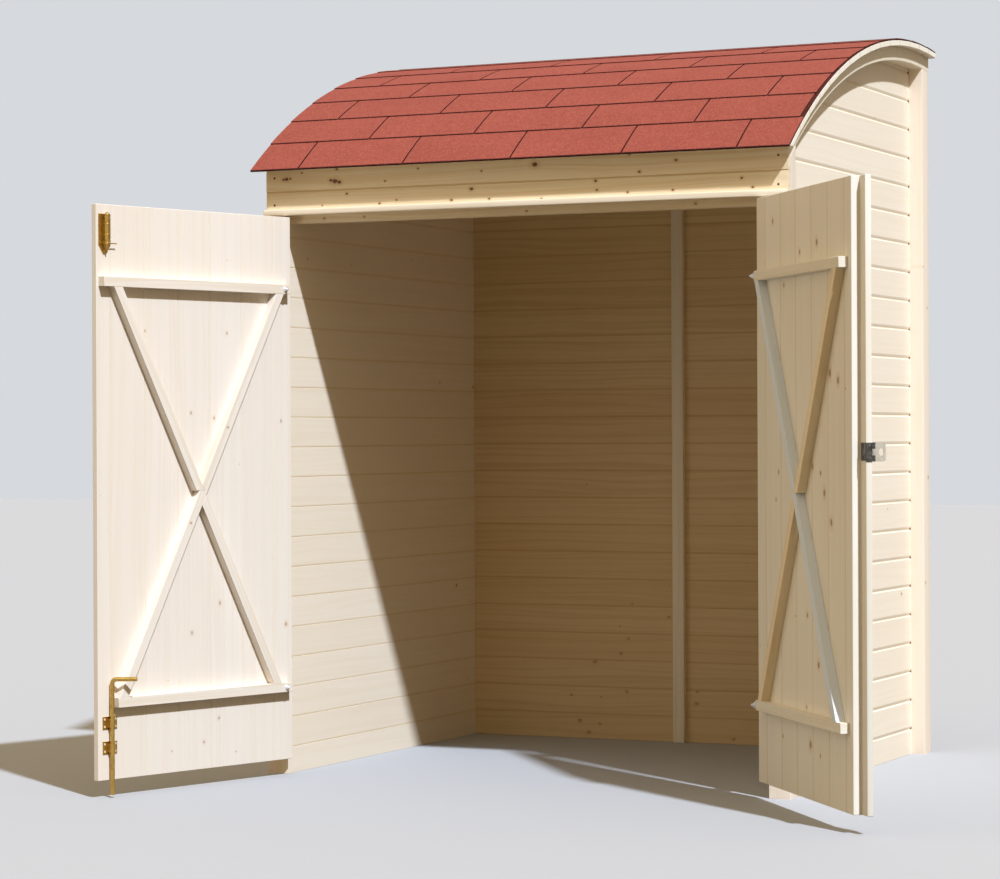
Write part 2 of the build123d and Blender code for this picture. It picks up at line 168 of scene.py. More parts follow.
class Slot(Enum):
    """The record's material slots."""

    BOARDS = "spruce_boards"
    TIMBER = "spruce_timber"
    SHINGLES = "red_shingles"
    STEEL = "galvanised_steel"
    BRASS = "brass"

    @property
    def smooth(self) -> float:
        """Returns the angle in degrees under which edges are shaded smooth: planed wood keeps flat faces."""
        return {Slot.BOARDS: 5.0, Slot.STEEL: 35.0, Slot.BRASS: 35.0}.get(self, 20.0)


class Piece:
    """A mesh being shaped in edit mode, kept in the shelter's own frame."""

    def __init__(self, obj: bpy.types.Object) -> None:
        """Takes a new object and settles it."""
        self.obj = obj
        self._settle()

    @classmethod
    def block(cls, low: Sequence[float], high: Sequence[float]) -> "Piece":
        """Starts from a cube primitive of the wanted size.

        Args:
            low: The lowest corner.
            high: The highest corner.

        Returns:
            The new piece.
        """
        bpy.ops.object.select_all(action="DESELECT")
        middle = [(a + b) / 2 for a, b in zip(low, high)]
        size = [b - a for a, b in zip(low, high)]
        bpy.ops.mesh.primitive_cube_add(size=1.0, location=middle, scale=size)
        return cls(bpy.context.object)

    @classmethod
    def bar(cls, foot: Sequence[float], tip: Sequence[float], radius: float, sides: int = 20) -> "Piece":
        """Starts from a cylinder primitive between two points.

        Args:
            foot: The middle of one end.
            tip: The middle of the other end.
            radius: The radius.
            sides: The number of sides.

        Returns:
            The new piece.
        """
        bpy.ops.object.select_all(action="DESELECT")
        start, end = Vector(foot), Vector(tip)
        turn = (end - start).to_track_quat("Z", "Y").to_euler()
        bpy.ops.mesh.primitive_cylinder_add(
            vertices=sides, radius=radius, depth=(end - start).length, location=(start + end) / 2, rotation=turn)
        return cls(bpy.context.object)

    @classmethod
    def section(cls, x_range: Sequence[float], z_range: Sequence[float]) -> "Piece":
        """Starts from a plane primitive that stands across the Y axis, under the roof's crown.

        Args:
            x_range: Its lowest and highest X.
            z_range: Its lowest and highest Z.

        Returns:
            The new piece.
        """
        bpy.ops.object.select_all(action="DESELECT")
        middle = (sum(x_range) / 2, PLAN.axis_y, sum(z_range) / 2)
        bpy.ops.mesh.primitive_plane_add(size=1.0, location=middle, rotation=(math.pi / 2, 0, 0))
        bpy.context.object.scale = (x_range[1] - x_range[0], z_range[1] - z_range[0], 1.0)
        return cls(bpy.context.object)

    @staticmethod
    def joined(pieces: Sequence["Piece"]) -> "Piece":
        """Joins pieces into the first of them.

        Args:
            pieces: The pieces.

        Returns:
            The first piece.
        """
        pieces[0].select()
        for other in pieces[1:]:
            other.obj.select_set(True)
        bpy.ops.object.join()
        return pieces[0]

    def select(self) -> None:
        """Makes this the only selected object and the active one."""
        bpy.ops.object.select_all(action="DESELECT")
        self.obj.select_set(True)
        bpy.context.view_layer.objects.active = self.obj

    def _settle(self) -> None:
        """Moves the object's place, turn and scale into its mesh."""
        self.select()
        bpy.ops.object.transform_apply(location=True, rotation=True, scale=True)

    @contextmanager
    def bench(self) -> Iterator[bmesh.types.BMesh]:
        """Opens the piece in edit mode with everything selected.

        Returns:
            The mesh being edited.
        """
        self.select()
        bpy.ops.object.mode_set(mode="EDIT")
        bpy.ops.mesh.select_mode(type="VERT")
        bpy.ops.mesh.select_all(action="SELECT")
        yield bmesh.from_edit_mesh(self.obj.data)
        bpy.ops.object.mode_set(mode="OBJECT")

    def work(self, kind: str, test: Test, tool: Callable, **options: object) -> None:
        """Uses one of Blender's mesh tools on a part of the piece.

        Args:
            kind: VERT, EDGE or FACE.
            test: Says which of them, by their middles.
            tool: The tool, which is left out where nothing is picked.
            options: The tool's options.
        """
        with self.bench():
            bpy.ops.mesh.select_all(action="DESELECT")
            bpy.ops.mesh.select_mode(type=kind)
            mesh = bmesh.from_edit_mesh(self.obj.data)
            parts, middle = {
                "VERT": (mesh.verts, lambda v: v.co),
                "EDGE": (mesh.edges, lambda e: (e.verts[0].co + e.verts[1].co) / 2),
                "FACE": (mesh.faces, lambda f: f.calc_center_median())}[kind]
            wanted = [part for part in parts if test(middle(part))]
            for part in wanted:
                part.select_set(True)
            mesh.select_flush_mode()
            bmesh.update_edit_mesh(self.obj.data)
            if wanted:
                tool(**options)

    def extrude(self, test: Test, move: Sequence[float]) -> None:
        """Draws out the faces whose middles the test picks."""
        self.work("FACE", test, bpy.ops.mesh.extrude_region_move, TRANSFORM_OT_translate={"value": move})

    def shift(self, test: Test, move: Sequence[float]) -> None:
        """Moves the points that the test picks."""
        self.work("VERT", test, bpy.ops.transform.translate, value=move)

    def chamfer(self, test: Test, width: float, segments: int = 1) -> None:
        """Bevels the edges whose middles the test picks."""
        self.work("EDGE", test, bpy.ops.mesh.bevel, offset=width, segments=segments, affect="EDGES")

    def cut(self, *planes: Plane, saw: bool = False) -> "Piece":
        """Cuts new edges where planes cross the piece.

        Args:
            planes: The planes.
            saw: Whether what they face is sawn off.

        Returns:
            This piece.
        """
        with self.bench():
            for point, normal in planes:
                bpy.ops.mesh.select_all(action="SELECT")
                bpy.ops.mesh.bisect(plane_co=point, plane_no=normal, use_fill=saw, clear_outer=saw)
        return self

    def spin(self, angle: float, steps: int) -> "Piece":
        """Sweeps the whole piece round the roof's axis.

        Args:
            angle: The angle, positive towards the rear.
            steps: The number of steps.

        Returns:
            This piece, closed, with its faces outwards.
        """
        with self.bench():
            bpy.ops.mesh.spin(steps=steps, angle=angle, center=PLAN.axis, axis=(1, 0, 0))
        return self.tidy()

    def tidy(self) -> "Piece":
        """Merges doubled points and turns all faces outwards.

        Returns:
            This piece.
        """
        with self.bench():
            bpy.ops.mesh.remove_doubles(threshold=WELD)
            bpy.ops.mesh.normals_make_consistent(inside=False)
        return self

    def ease(self, width: float, segments: int = 2, angle: float = 80.0) -> "Piece":
        """Rounds the sharp edges with a Bevel modifier that is applied.

        Args:
            width: The width of the rounding.
            segments: The number of facets.
            angle: Edges sharper than this, in degrees, are rounded.

        Returns:
            This piece.
        """
        self.select()
        bevel = self.obj.modifiers.new("eased_edges", "BEVEL")
        bevel.width = width
        bevel.segments = segments
        bevel.limit_method = "ANGLE"
        bevel.angle_limit = math.radians(angle)
        bpy.ops.object.modifier_apply(modifier=bevel.name)
        return self

    def copy(self, move: Sequence[float]) -> "Piece":
        """Copies the piece with its own mesh.

        Args:
            move: How far away the copy lies.

        Returns:
            The copy.
        """
        twin = self.obj.copy()
        twin.data = self.obj.data.copy()
        bpy.context.scene.collection.objects.link(twin)
        twin.data.transform(Matrix.Translation(move))
        return Piece(twin)

    def place(self, matrix: Matrix) -> "Piece":
        """Moves the piece, with the move kept in its mesh.

        Args:
            matrix: The move.

        Returns:
            This piece.
        """
        self.obj.matrix_world = matrix
        self._settle()
        return self


class Graph:
    """Adds and joins the nodes of one material or node group."""

    def __init__(self, tree: bpy.types.NodeTree) -> None:
        """Takes the node tree to fill."""
        self.tree = tree

    def add(self, kind: str, inputs: dict | None = None, **settings: object) -> bpy.types.Node:
        """Adds a node.

        Args:
            kind: Blender's name of the node without ShaderNode.
            inputs: What goes into its inputs, as sockets or plain values.
            settings: The node's own settings.

        Returns:
            The node.
        """
        node = self.tree.nodes.new("ShaderNode" + kind)
        for key, value in settings.items():
            setattr(node, key, value)
        for key, value in (inputs or {}).items():
            self.put(node.inputs[key], value)
        return node

    def put(self, socket: Socket, value: object) -> None:
        """Links a socket to another, or sets its plain value.

        Args:
            socket: The input.
            value: A socket, a number, a point or a colour.
        """
        if isinstance(value, Socket):
            self.tree.links.new(value, socket)
        elif socket.type == "RGBA":
            socket.default_value = (*value, 1.0)
        else:
            socket.default_value = value

    def math(self, operation: str, *values: object) -> Socket:
        """Works with numbers, by the Math node's operation."""
        return self.add("Math", dict(enumerate(values)), operation=operation).outputs[0]

    def times(self, first: object, second: object) -> Socket:
        """Multiplies two numbers."""
        return self.math("MULTIPLY", first, second)

    def plus(self, first: object, second: object) -> Socket:
        """Adds two numbers."""
        return self.math("ADD", first, second)

    def minus(self, first: object, second: object) -> Socket:
        """Takes the second number from the first."""
        return self.math("SUBTRACT", first, second)

    def vector(self, operation: str, *values: object) -> Socket:
        """Works with vectors, by the Vector Math node's operation."""
        node = self.add("VectorMath", dict(enumerate(values)), operation=operation)
        return node.outputs["Value" if operation == "LENGTH" else "Vector"]

    def parts(self, place: Socket) -> bpy.types.NodeOutputs:
        """Takes a vector apart, into sockets named X, Y and Z."""
        return self.add("SeparateXYZ", {0: place}).outputs

    def blend(self, share: object, first: object, second: object) -> Socket:
        """Mixes two colours.

        Args:
            share: The share of the second.
            first: The first colour.
            second: The second colour.

        Returns:
            The mixed colour.
        """
        inputs = {0: share, 6: first, 7: second}
        return self.add("Mix", inputs, data_type="RGBA", clamp_factor=True).outputs[2]

    def noise(self, place: Socket, scale: Point, detail: float = 2.0, rough: float = 0.5) -> Socket:
        """Reads noise.

        Args:
            place: The place.
            scale: The scale along each axis.
            detail: The noise's detail.
            rough: The noise's roughness.

        Returns:
            The noise, about 0.5.
        """
        spot = self.vector("MULTIPLY", place, scale)
        return self.add("TexNoise", {"Vector": spot, "Scale": 1.0, "Detail": detail, "Roughness": rough}).outputs[0]

    def cells(self, place: Socket, scale: object, dimensions: str = "3D") -> tuple[Socket, bpy.types.NodeOutputs]:
        """Scatters cells.

        Args:
            place: The place.
            scale: Their number to the metre.
            dimensions: 2D or 3D.

        Returns:
            The distance from a cell's middle, and three random numbers of the cell.
        """
        found = self.add("TexVoronoi", {"Vector": place, "Scale": scale}, voronoi_dimensions=dimensions).outputs
        return found["Distance"], self.add("SeparateColor", {0: found["Color"]}).outputs

    def rise(self, value: Socket, low: float, high: float, kind: str = "SMOOTHSTEP") -> Socket:
        """Turns a value into a mask that goes from 0 to 1 between two levels.

        Args:
            value: The value.
            low: The level that gives 0.
            high: The level that gives 1.
            kind: SMOOTHSTEP or LINEAR.

        Returns:
            The mask.
        """
        inputs = {"Value": value, "From Min": low, "From Max": high}
        return self.add("MapRange", inputs, interpolation_type=kind, clamp=True).outputs[0]

    def bump(self, height: Socket, distance: float, strength: float) -> Socket:
        """Turns a height into a normal, with the bump's distance in metres and its strength."""
        return self.add("Bump", {"Height": height, "Distance": distance, "Strength": strength}).outputs[0]


def new_material(name: str, draw: Callable[[Graph], dict[str, object]]) -> bpy.types.Material:
    """Builds a material of one shader.

    Args:
        name: Its name.
        draw: Draws in the material's graph and gives what goes into the shader's inputs.

    Returns:
        The material.
    """
    material = bpy.data.materials.new(name)
    material.use_nodes = True
    material.node_tree.nodes.clear()
    g = Graph(material.node_tree)
    shader = g.add("BsdfPrincipled", draw(g))
    g.add("OutputMaterial", {"Surface": shader.outputs[0]})
    return material


def new_group(name: str, takes: Sequence[str], gives: Sequence[str]) -> tuple[bpy.types.NodeTree, Graph, dict, dict]:
    """Makes an empty node group, where sockets named Vector or Place are vectors and the others are numbers.

    Args:
        name: The group's name.
        takes: The names of its inputs.
        gives: The names of its outputs.

    Returns:
        The group, its graph, its input sockets and its output sockets inside the group.
    """
    tree = bpy.data.node_groups.new(name, "ShaderNodeTree")
    for labels, way in ((takes, "INPUT"), (gives, "OUTPUT")):
        for label in labels:
            kind = "NodeSocketVector" if label in ("Vector", "Place") else "NodeSocketFloat"
            tree.interface.new_socket(name=label, in_out=way, socket_type=kind)
    inlet = tree.nodes.new("NodeGroupInput")
    outlet = tree.nodes.new("NodeGroupOutput")
    return tree, Graph(tree), {s.name: s for s in inlet.outputs}, {s.name: s for s in outlet.inputs}


class Effects:
    """The node groups that several finishes share, each built once."""

    def __init__(self) -> None:
        """Builds every group."""
        self.grain = self._grain()
        self.knot = self._knot()
        self.scattered_knots = self._scattered_knots()
        self.round_roof = self._round_roof()
        self.patches = self._patches()

    @staticmethod
    def _grain() -> bpy.types.NodeTree:
        """Draws the grain of planed spruce, along X and across Y, board by board.

        Returns:
            The group.
        """
        tree, g, takes, gives = new_group("spruce_grain", ("Vector", "Board", "First", "Seed"),
                                          ("Rings", "Streaks", "Fibre", "Board Tone", "Joint"))
        across = g.parts(takes["Vector"])["Y"]
        count = g.math("DIVIDE", g.minus(across, takes["First"]), takes["Board"])
        pair = g.add("CombineXYZ", {"X": g.math("FLOOR", count), "Y": takes["Seed"]}).outputs[0]
        chance = g.add("TexWhiteNoise", {"Vector": pair}, noise_dimensions="2D").outputs
        place = g.vector("ADD", takes["Vector"], g.vector("MULTIPLY", chance["Color"], (9.0, 7.0, 5.0)))
        bend = g.noise(place, (1.6, 9.0, 9.0), detail=1.0)
        sway = g.vector("MULTIPLY", g.add("CombineXYZ", {"Y": bend}).outputs[0], (1.0, 0.05, 1.0))
        bent = g.vector("ADD", place, sway)
        g.put(gives["Rings"], g.rise(g.noise(bent, (0.9, 85.0, 40.0), rough=0.6), 0.42, 0.66))
        g.put(gives["Streaks"], g.rise(g.noise(bent, (5.0, 420.0, 420.0), detail=3.0, rough=0.6), 0.32, 0.72))
        g.put(gives["Fibre"], g.noise(place, (60.0, 1900.0, 1900.0)))
        g.put(gives["Board Tone"], chance["Value"])
        away = g.math("ABSOLUTE", g.minus(g.math("FRACT", count), 0.5))
        metres = g.times(g.minus(0.5, away), takes["Board"])
        g.put(gives["Joint"], g.rise(metres, 0.0042, 0.0012))
        return tree

    @staticmethod
    def _masks(g: Graph, place: Socket, far: Socket) -> tuple[Socket, Socket]:
        """Draws a knot that isn't quite round.

        Args:
            g: The group's graph.
            place: The place.
            far: The distance from the knot's middle, in radii.

        Returns:
            The masks of its heart and of the darker wood round it.
        """
        wobble = g.noise(place, (170.0, 170.0, 170.0))
        far = g.plus(far, g.times(g.minus(wobble, 0.5), 0.7))
        return g.rise(far, 1.15, 0.55), g.rise(far, 2.9, 0.9)

    def _knot(self) -> bpy.types.NodeTree:
        """Draws the masks of one knot at a given place across the face of a board.

        Returns:
            The group.
        """
        tree, g, takes, gives = new_group("one_knot", ("Vector", "Place", "Radius"), ("Core", "Halo"))
        gap = g.vector("MULTIPLY", g.vector("SUBTRACT", takes["Vector"], takes["Place"]), (0.75, 1.0, 0.0))
        far = g.math("DIVIDE", g.vector("LENGTH", gap), takes["Radius"])
        for label, mask in zip(("Core", "Halo"), self._masks(g, takes["Vector"], far)):
            g.put(gives[label], mask)
        return tree

    def _scattered_knots(self) -> bpy.types.NodeTree:
        """Draws the masks of small knots at random places, along X and across Y.

        Returns:
            The group.
        """
        tree, g, takes, gives = new_group("scattered_knots", ("Vector", "Spacing", "Radius", "Seed"),
                                          ("Core", "Halo"))
        parts = g.parts(takes["Vector"])
        flat = g.add("CombineXYZ", {"X": g.plus(parts["X"], takes["Seed"]), "Y": parts["Y"]}).outputs[0]
        distance, chance = g.cells(flat, g.math("DIVIDE", 1.0, takes["Spacing"]), "2D")
        size = g.times(takes["Radius"], g.plus(g.times(chance[0], 0.9), 0.35))
        far = g.math("DIVIDE", g.times(distance, takes["Spacing"]), size)
        there = g.rise(chance[1], 0.35, 0.4)
        for label, mask in zip(("Core", "Halo"), self._masks(g, takes["Vector"], far)):
            g.put(gives[label], g.times(mask, there))
        return tree

    @staticmethod
    def _round_roof() -> bpy.types.NodeTree:
        """Measures places along the roof's length, its curve and its height.

        Returns:
            The group.
        """
        tree, g, takes, gives = new_group("round_roof", ("Vector",), ("Vector",))
        parts = g.parts(takes["Vector"])
        ahead = g.minus(PLAN.axis_y, parts["Y"])
        above = g.minus(parts["Z"], PLAN.axis_z)
        along = g.times(g.math("ARCTAN2", ahead, above), PLAN.deck_outer)
        radius = g.math("SQRT", g.plus(g.times(ahead, ahead), g.times(above, above)))
        g.put(gives["Vector"], g.add("CombineXYZ", {"X": parts["X"], "Y": along, "Z": radius}).outputs[0])
        return tree

    @staticmethod
    def _patches() -> bpy.types.NodeTree:
        """Draws soft patches, small specks and fine scratches for metal.

        Returns:
            The group.
        """
        tree, g, takes, gives = new_group("metal_patches", ("Vector", "Scale"), ("Patch", "Speck", "Scratch"))
        scale = g.add("CombineXYZ", {axis: takes["Scale"] for axis in "XYZ"}).outputs[0]
        place = g.vector("MULTIPLY", takes["Vector"], scale)
        g.put(gives["Patch"], g.rise(g.noise(place, (1.0, 1.0, 1.0), detail=3.0), 0.35, 0.65))
        g.put(gives["Speck"], g.cells(place, 2.5)[1][0])
        g.put(gives["Scratch"], g.noise(place, (2.0, 2.0, 40.0)))
        return tree


@dataclass(frozen=True)
class Finish:
    """A finish, whose own class draws its surface."""

    name: str

    def surface(self, g: Graph, effects: Effects) -> dict[str, object]:
        """Draws the surface.

        Args:
            g: The material's graph.
            effects: The shared node groups.

        Returns:
            What goes into the shader's inputs.
        """
        raise NotImplementedError

    @staticmethod
    def patches(g: Graph, effects: Effects, scale: float) -> bpy.types.NodeOutputs:
        """Adds metal's patches, specks and scratches, this many to the metre."""
        inputs = {"Vector": g.add("TexCoord").outputs["Object"], "Scale": scale}
        return g.add("Group", inputs, node_tree=effects.patches).outputs


@dataclass(frozen=True)
class SpruceFinish(Finish):
    """Planed, untreated spruce."""

    origin: Point = (0.0, 0.0, 0.0)
    along: Point = (1.0, 0.0, 0.0)
    across: Point = (0.0, 0.0, 1.0)
    board: float = 5.0
    first: float = -2.5
    seed: float = 0.0
    knots: tuple[Knot, ...] = ()
    knot_spacing: float = 0.30
    knot_radius: float = 0.005
    round_the_roof: bool = False
    joint_shade: float = 0.0
    figure: float = 1.0
    knot_scale: float = 0.7
    knot_shade: float = 0.7
    tones: Tones = ((249, 240, 226), (246, 234, 215), (238, 220, 190))
    joint: Shade = (205, 173, 122)
    halo: Shade = (214, 178, 128)
    heart: Shade = (128, 86, 50)

    def surface(self, g: Graph, effects: Effects) -> dict[str, object]:
        """Draws grain, rings, knots and joints.

        Args:
            g: The material's graph.
            effects: The shared node groups.

        Returns:
            What goes into the shader's inputs.
        """
        place = self._place(g, effects)
        grain = g.add("Group", {"Vector": place, "Board": self.board, "First": self.first, "Seed": self.seed},
                      node_tree=effects.grain).outputs
        core, halo = self._knots(g, effects, place)
        pale, warm, ring = (tint(tone) for tone in self.tones)
        colour = pale
        for mask, share, over in (
                (grain["Board Tone"], 0.75, warm), (grain["Rings"], 0.6 * self.figure, ring),
                (grain["Streaks"], 0.2 * self.figure, ring), (halo, 0.5 * self.knot_shade, tint(self.halo)),
                (core, self.knot_shade, tint(self.heart)), (grain["Joint"], self.joint_shade, tint(self.joint))):
            if share:
                colour = g.blend(g.times(mask, share), colour, over)
        height = g.minus(g.plus(g.times(grain["Streaks"], 0.5), grain["Fibre"]), core)
        return {"Base Color": colour, "Roughness": g.plus(0.56, g.times(grain["Rings"], -0.12)),
                "Normal": g.bump(height, 0.0002, 0.45), "Specular IOR Level": 0.3}

    def _place(self, g: Graph, effects: Effects) -> Socket:
        """Turns object coordinates so that X runs along the grain and Y across it.

        Args:
            g: The material's graph.
            effects: The shared node groups.

        Returns:
            The turned place.
        """
        place = g.add("TexCoord").outputs["Object"]
        if self.round_the_roof:
            return g.add("Group", {0: place}, node_tree=effects.round_roof).outputs[0]
        along, across = Vector(self.along).normalized(), Vector(self.across).normalized()
        turn = Matrix((along, across, along.cross(across)))
        inputs = {"Vector": place, "Location": -(turn @ Vector(self.origin)), "Rotation": turn.to_euler("XYZ")}
        return g.add("Mapping", inputs, vector_type="POINT").outputs[0]

    def _knots(self, g: Graph, effects: Effects, place: Socket) -> tuple[Socket, Socket]:
        """Adds the scattered knots and those at known places.

        Args:
            g: The material's graph.
            effects: The shared node groups.
            place: The turned place.

        Returns:
            The masks of the knots' hearts and of the darker wood round them.
        """
        radius = self.knot_radius * (0.5 if self.knots else 1.0)
        inputs = {"Vector": place, "Spacing": self.knot_spacing, "Radius": radius, "Seed": self.seed}
        core, halo = g.add("Group", inputs, node_tree=effects.scattered_knots).outputs
        for along, across, size in self.knots:
            inputs = {"Vector": place, "Place": (along, across, 0.0), "Radius": size * self.knot_scale}
            knot = g.add("Group", inputs, node_tree=effects.knot).outputs
            core, halo = g.math("MAXIMUM", core, knot["Core"]), g.math("MAXIMUM", halo, knot["Halo"])
        return core, halo


@dataclass(frozen=True)
class ShingleFinish(Finish):
    """Red mineral granules on a bitumen strip."""

    name: str = "shingle_granules"
    tab: float = 1 / 3
    exposure: float = 0.147
    granules: float = 520.0
    red: Shade = (157, 79, 66)
    dark: Shade = (115, 51, 43)
    light: Shade = (180, 114, 100)

    def surface(self, g: Graph, effects: Effects) -> dict[str, object]:
        """Draws granules, each tab a little apart from the next.

        Args:
            g: The material's graph.
            effects: The shared node groups.

        Returns:
            What goes into the shader's inputs.
        """
        spot = g.add("TexCoord").outputs["Object"]
        place = g.add("Group", {0: spot}, node_tree=effects.round_roof).outputs[0]
        tabs = g.vector("FLOOR", g.vector("DIVIDE", place, (self.tab / 2, self.exposure, 9.0)))
        chance = g.add("TexWhiteNoise", {"Vector": tabs}, noise_dimensions="3D").outputs["Value"]
        distance, specks = g.cells(spot, self.granules)
        mottle = g.noise(spot, (85.0, 85.0, 85.0), detail=4.0, rough=0.7)
        cloud = g.noise(spot, (7.0, 7.0, 7.0), detail=3.0)
        share = g.plus(g.times(g.rise(mottle, 0.35, 0.65), 0.28), g.times(chance, 0.10))
        share = g.plus(share, g.times(g.rise(cloud, 0.4, 0.7), 0.10))
        dark = tint(self.dark)
        colour = g.blend(share, tint(self.red), dark)
        colour = g.blend(g.times(g.rise(specks[0], 0.80, 0.95), 0.5), colour, tint(self.light))
        colour = g.blend(g.times(g.rise(specks[0], 0.22, 0.08), 0.5), colour, dark)
        height = g.plus(g.times(distance, -1.0), g.times(mottle, 0.6))
        return {"Base Color": colour, "Roughness": 0.9, "Normal": g.bump(height, 0.0006, 0.6),
                "Specular IOR Level": 0.2}


@dataclass(frozen=True)
class EdgeFinish(Finish):
    """The dark cut edge of a shingle, or the dark head of a nail."""

    base: Shade
    worn: Shade
    scale: float = 160.0
    roughness: float = 0.8

    def surface(self, g: Graph, effects: Effects) -> dict[str, object]:
        """Draws worn patches.

        Args:
            g: The material's graph.
            effects: The shared node groups.

        Returns:
            What goes into the shader's inputs.
        """
        marks = self.patches(g, effects, self.scale)
        rough = g.plus(self.roughness - 0.1, g.times(marks["Patch"], 0.2))
        return {"Base Color": g.blend(marks["Patch"], tint(self.base), tint(self.worn)), "Roughness": rough,
                "Normal": g.bump(marks["Scratch"], 0.0002, 0.4), "Specular IOR Level": 0.15}


@dataclass(frozen=True)
class MetalFinish(Finish):
    """Plated metal with patches, spangle and fine scratches."""

    base: Shade
    dull: Shade
    bright: Shade
    scale: float
    roughness: float
    spangle: float = 0.25
    patchy: float = 1.0
    metallic: float = 1.0

    def surface(self, g: Graph, effects: Effects) -> dict[str, object]:
        """Draws patches, spangle and scratches.

        Args:
            g: The material's graph.
            effects: The shared node groups.

        Returns:
            What goes into the shader's inputs.
        """
        marks = self.patches(g, effects, self.scale)
        colour = g.blend(g.times(marks["Patch"], self.patchy), tint(self.base), tint(self.dull))
        colour = g.blend(g.times(marks["Speck"], self.spangle), colour, tint(self.bright))
        rough = g.plus(self.roughness, g.times(marks["Patch"], 0.16))
        return {"Base Color": colour, "Roughness": g.minus(rough, g.times(marks["Speck"], 0.08)),
                "Metallic": self.metallic, "Normal": g.bump(marks["Scratch"], 0.00008, 0.35)}


class Finishes:
    """Makes each finish once and hands it out."""

    steel = MetalFinish("zinc_plate", (208, 198, 178), (154, 144, 124), (240, 233, 218), 90.0, 0.46, patchy=0.45)
    # Painted reflection: near-white zinc with little metallic, for the bolt ends and nuts, stands in for the bright
    # surroundings that they reflect.
    zinc_painted_reflection = MetalFinish("zinc_with_painted_reflection", (238, 239, 244), (206, 208, 214), (250, 250, 252), 90.0, 0.4,
                            patchy=0.4, metallic=0.55)
    # Dark zinc, for the hasp's base, its plate in the cover strip's channel and its screws.
    dark_steel = MetalFinish("dark_zinc_plate", (88, 84, 76), (52, 48, 42), (160, 156, 148), 60.0, 0.42)
    brass = MetalFinish("brass_plate", (196, 156, 76), (128, 90, 36), (244, 218, 140), 60.0, 0.3, 0.2, 0.4)
    # Painted highlight: the keeper screws' pale brass stands in for the highlights on their heads.
    brass_painted_highlight = MetalFinish("brass_with_painted_highlight", (250, 236, 204), (226, 200, 152), (255, 250, 236), 60.0, 0.5, 0.2,
                             0.3, 0.5)
    nail = EdgeFinish("nail_head", (112, 84, 52), (76, 54, 32), 300.0, 0.7)
    bitumen = EdgeFinish("shingle_edge", (88, 36, 29), (62, 27, 22))

    def __init__(self) -> None:
        """Builds the shared effects."""
        self.effects = Effects()
        self._made: dict[str, bpy.types.Material] = {}

    def get(self, finish: Finish) -> bpy.types.Material:
        """Returns a finish's material, built the first time.

        Args:
            finish: The finish.

        Returns:
            The material.
        """
        if finish.name not in self._made:
            self._made[finish.name] = new_material(finish.name, lambda g: finish.surface(g, self.effects))
        return self._made[finish.name]

    def dress(self, finish: Finish, *nodes: str) -> None:
        """Gives CAD nodes a finish, without touching their meshes.

        Args:
            finish: The finish.
            nodes: The nodes' names.
        """
        material = self.get(finish)
        for name in nodes:
            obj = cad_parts[name]
            if not obj.material_slots:
                obj.data.materials.append(material)
            for holder in obj.material_slots:
                holder.material = material
            log.info("%s: kept as drawn, finished as %s", name, finish.name)


@dataclass
class Assembly:
    """A sub-assembly, with the finishes that all of them share."""

    finishes: Finishes

    def finish(self, piece: Piece, name: str, finish: Finish, slot: Slot, *nodes: str,
               body: Body = Body.SHELTER) -> None:
        """Names a piece, gives it its finish and lets it ride on its body.

        Args:
            piece: The piece.
            name: Its name.
            finish: Its finish, unless it has one.
            slot: The record's slot, whose angle sets which edges are shaded smooth.
            nodes: The CAD nodes that it replaces.
            body: The body that it rides on.
        """
        obj = piece.obj
        obj.name = name
        obj.data.name = name
        if not obj.data.materials:
            obj.data.materials.append(self.finishes.get(finish))
        piece.select()
        bpy.ops.object.shade_smooth_by_angle(angle=math.radians(slot.smooth))
        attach(obj, body.value)
        if nodes:
            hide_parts(*nodes)
        log.info("%s: %d faces on %s", name, len(obj.data.polygons), body.value)


@dataclass(frozen=True)
class Matching:
    """Tongue and groove boards: a V joint on the outer face and a thin joint on the inner one."""

    pitch: float
    first: float
    count: int
    vee_low: float = 0.0045
    vee_high: float = 0.0045
    vee_depth: float = 0.0015
    seam_half: float = 0.0012
    seam_depth: float = 0.001

    def joints(self) -> list[float]:
        """Returns the places of the joints across the boards."""
        return [self.first + self.pitch * number for number in range(self.count)]

    def score(self, piece: Piece, axis: int, outer: tuple[int, float, float], inner: tuple[int, float, float]) -> None:
        """Works the joints into a panel.

        Args:
            piece: The panel.
            axis: The axis across the boards.
            outer: The outer face: its axis, its place, and the direction into the board.
            inner: The same for the inner face.
        """
        spread = [v.co[axis] for v in piece.obj.data.vertices]
        spots = [p for p in self.joints() if min(spread) + self.vee_low < p < max(spread) - self.vee_high]
        shifts = (-self.vee_low, -self.seam_half, 0.0, self.seam_half, self.vee_high)
        piece.cut(*(plane(axis, p + s) for p in spots for s in shifts))
        for side, reach, depth in ((outer, self.seam_half, self.vee_depth), (inner, 0.0, self.seam_depth)):
            face, level, into = side

            def joint(v: Vector) -> bool:
                """Returns whether a point of the face is at a joint."""
                return abs(v[face] - level) < TOUCH and any(abs(v[axis] - p) < reach + TOUCH for p in spots)

            piece.shift(joint, [into * depth * (face == k) for k in range(3)])


def step_forward(piece: Piece) -> None:
    """Draws a wall or a post forward under the header, as far as the front.

    Args:
        piece: The wall or the post.
    """
    piece.cut(plane(Z, PLAN.header_bottom))
    piece.extrude(lambda f: abs(f.y - PLAN.header_back) < TOUCH and f.z < PLAN.header_bottom,
                  (0, PLAN.front - PLAN.header_back, 0))


def nail_head(place: Sequence[float], outward: Sequence[float], radius: float) -> Piece:
    """Builds a nail's head, let a little into the wood.

    Args:
        place: The point on the surface.
        outward: The direction out of the wood.
        radius: The head's radius.

    Returns:
        The head.
    """
    spot, out = Vector(place), Vector(outward)
    return Piece.bar(spot - out * NAIL_SUNK, spot + out * NAIL_PROUD, radius, 12).ease(0.0003, 1, 60.0)


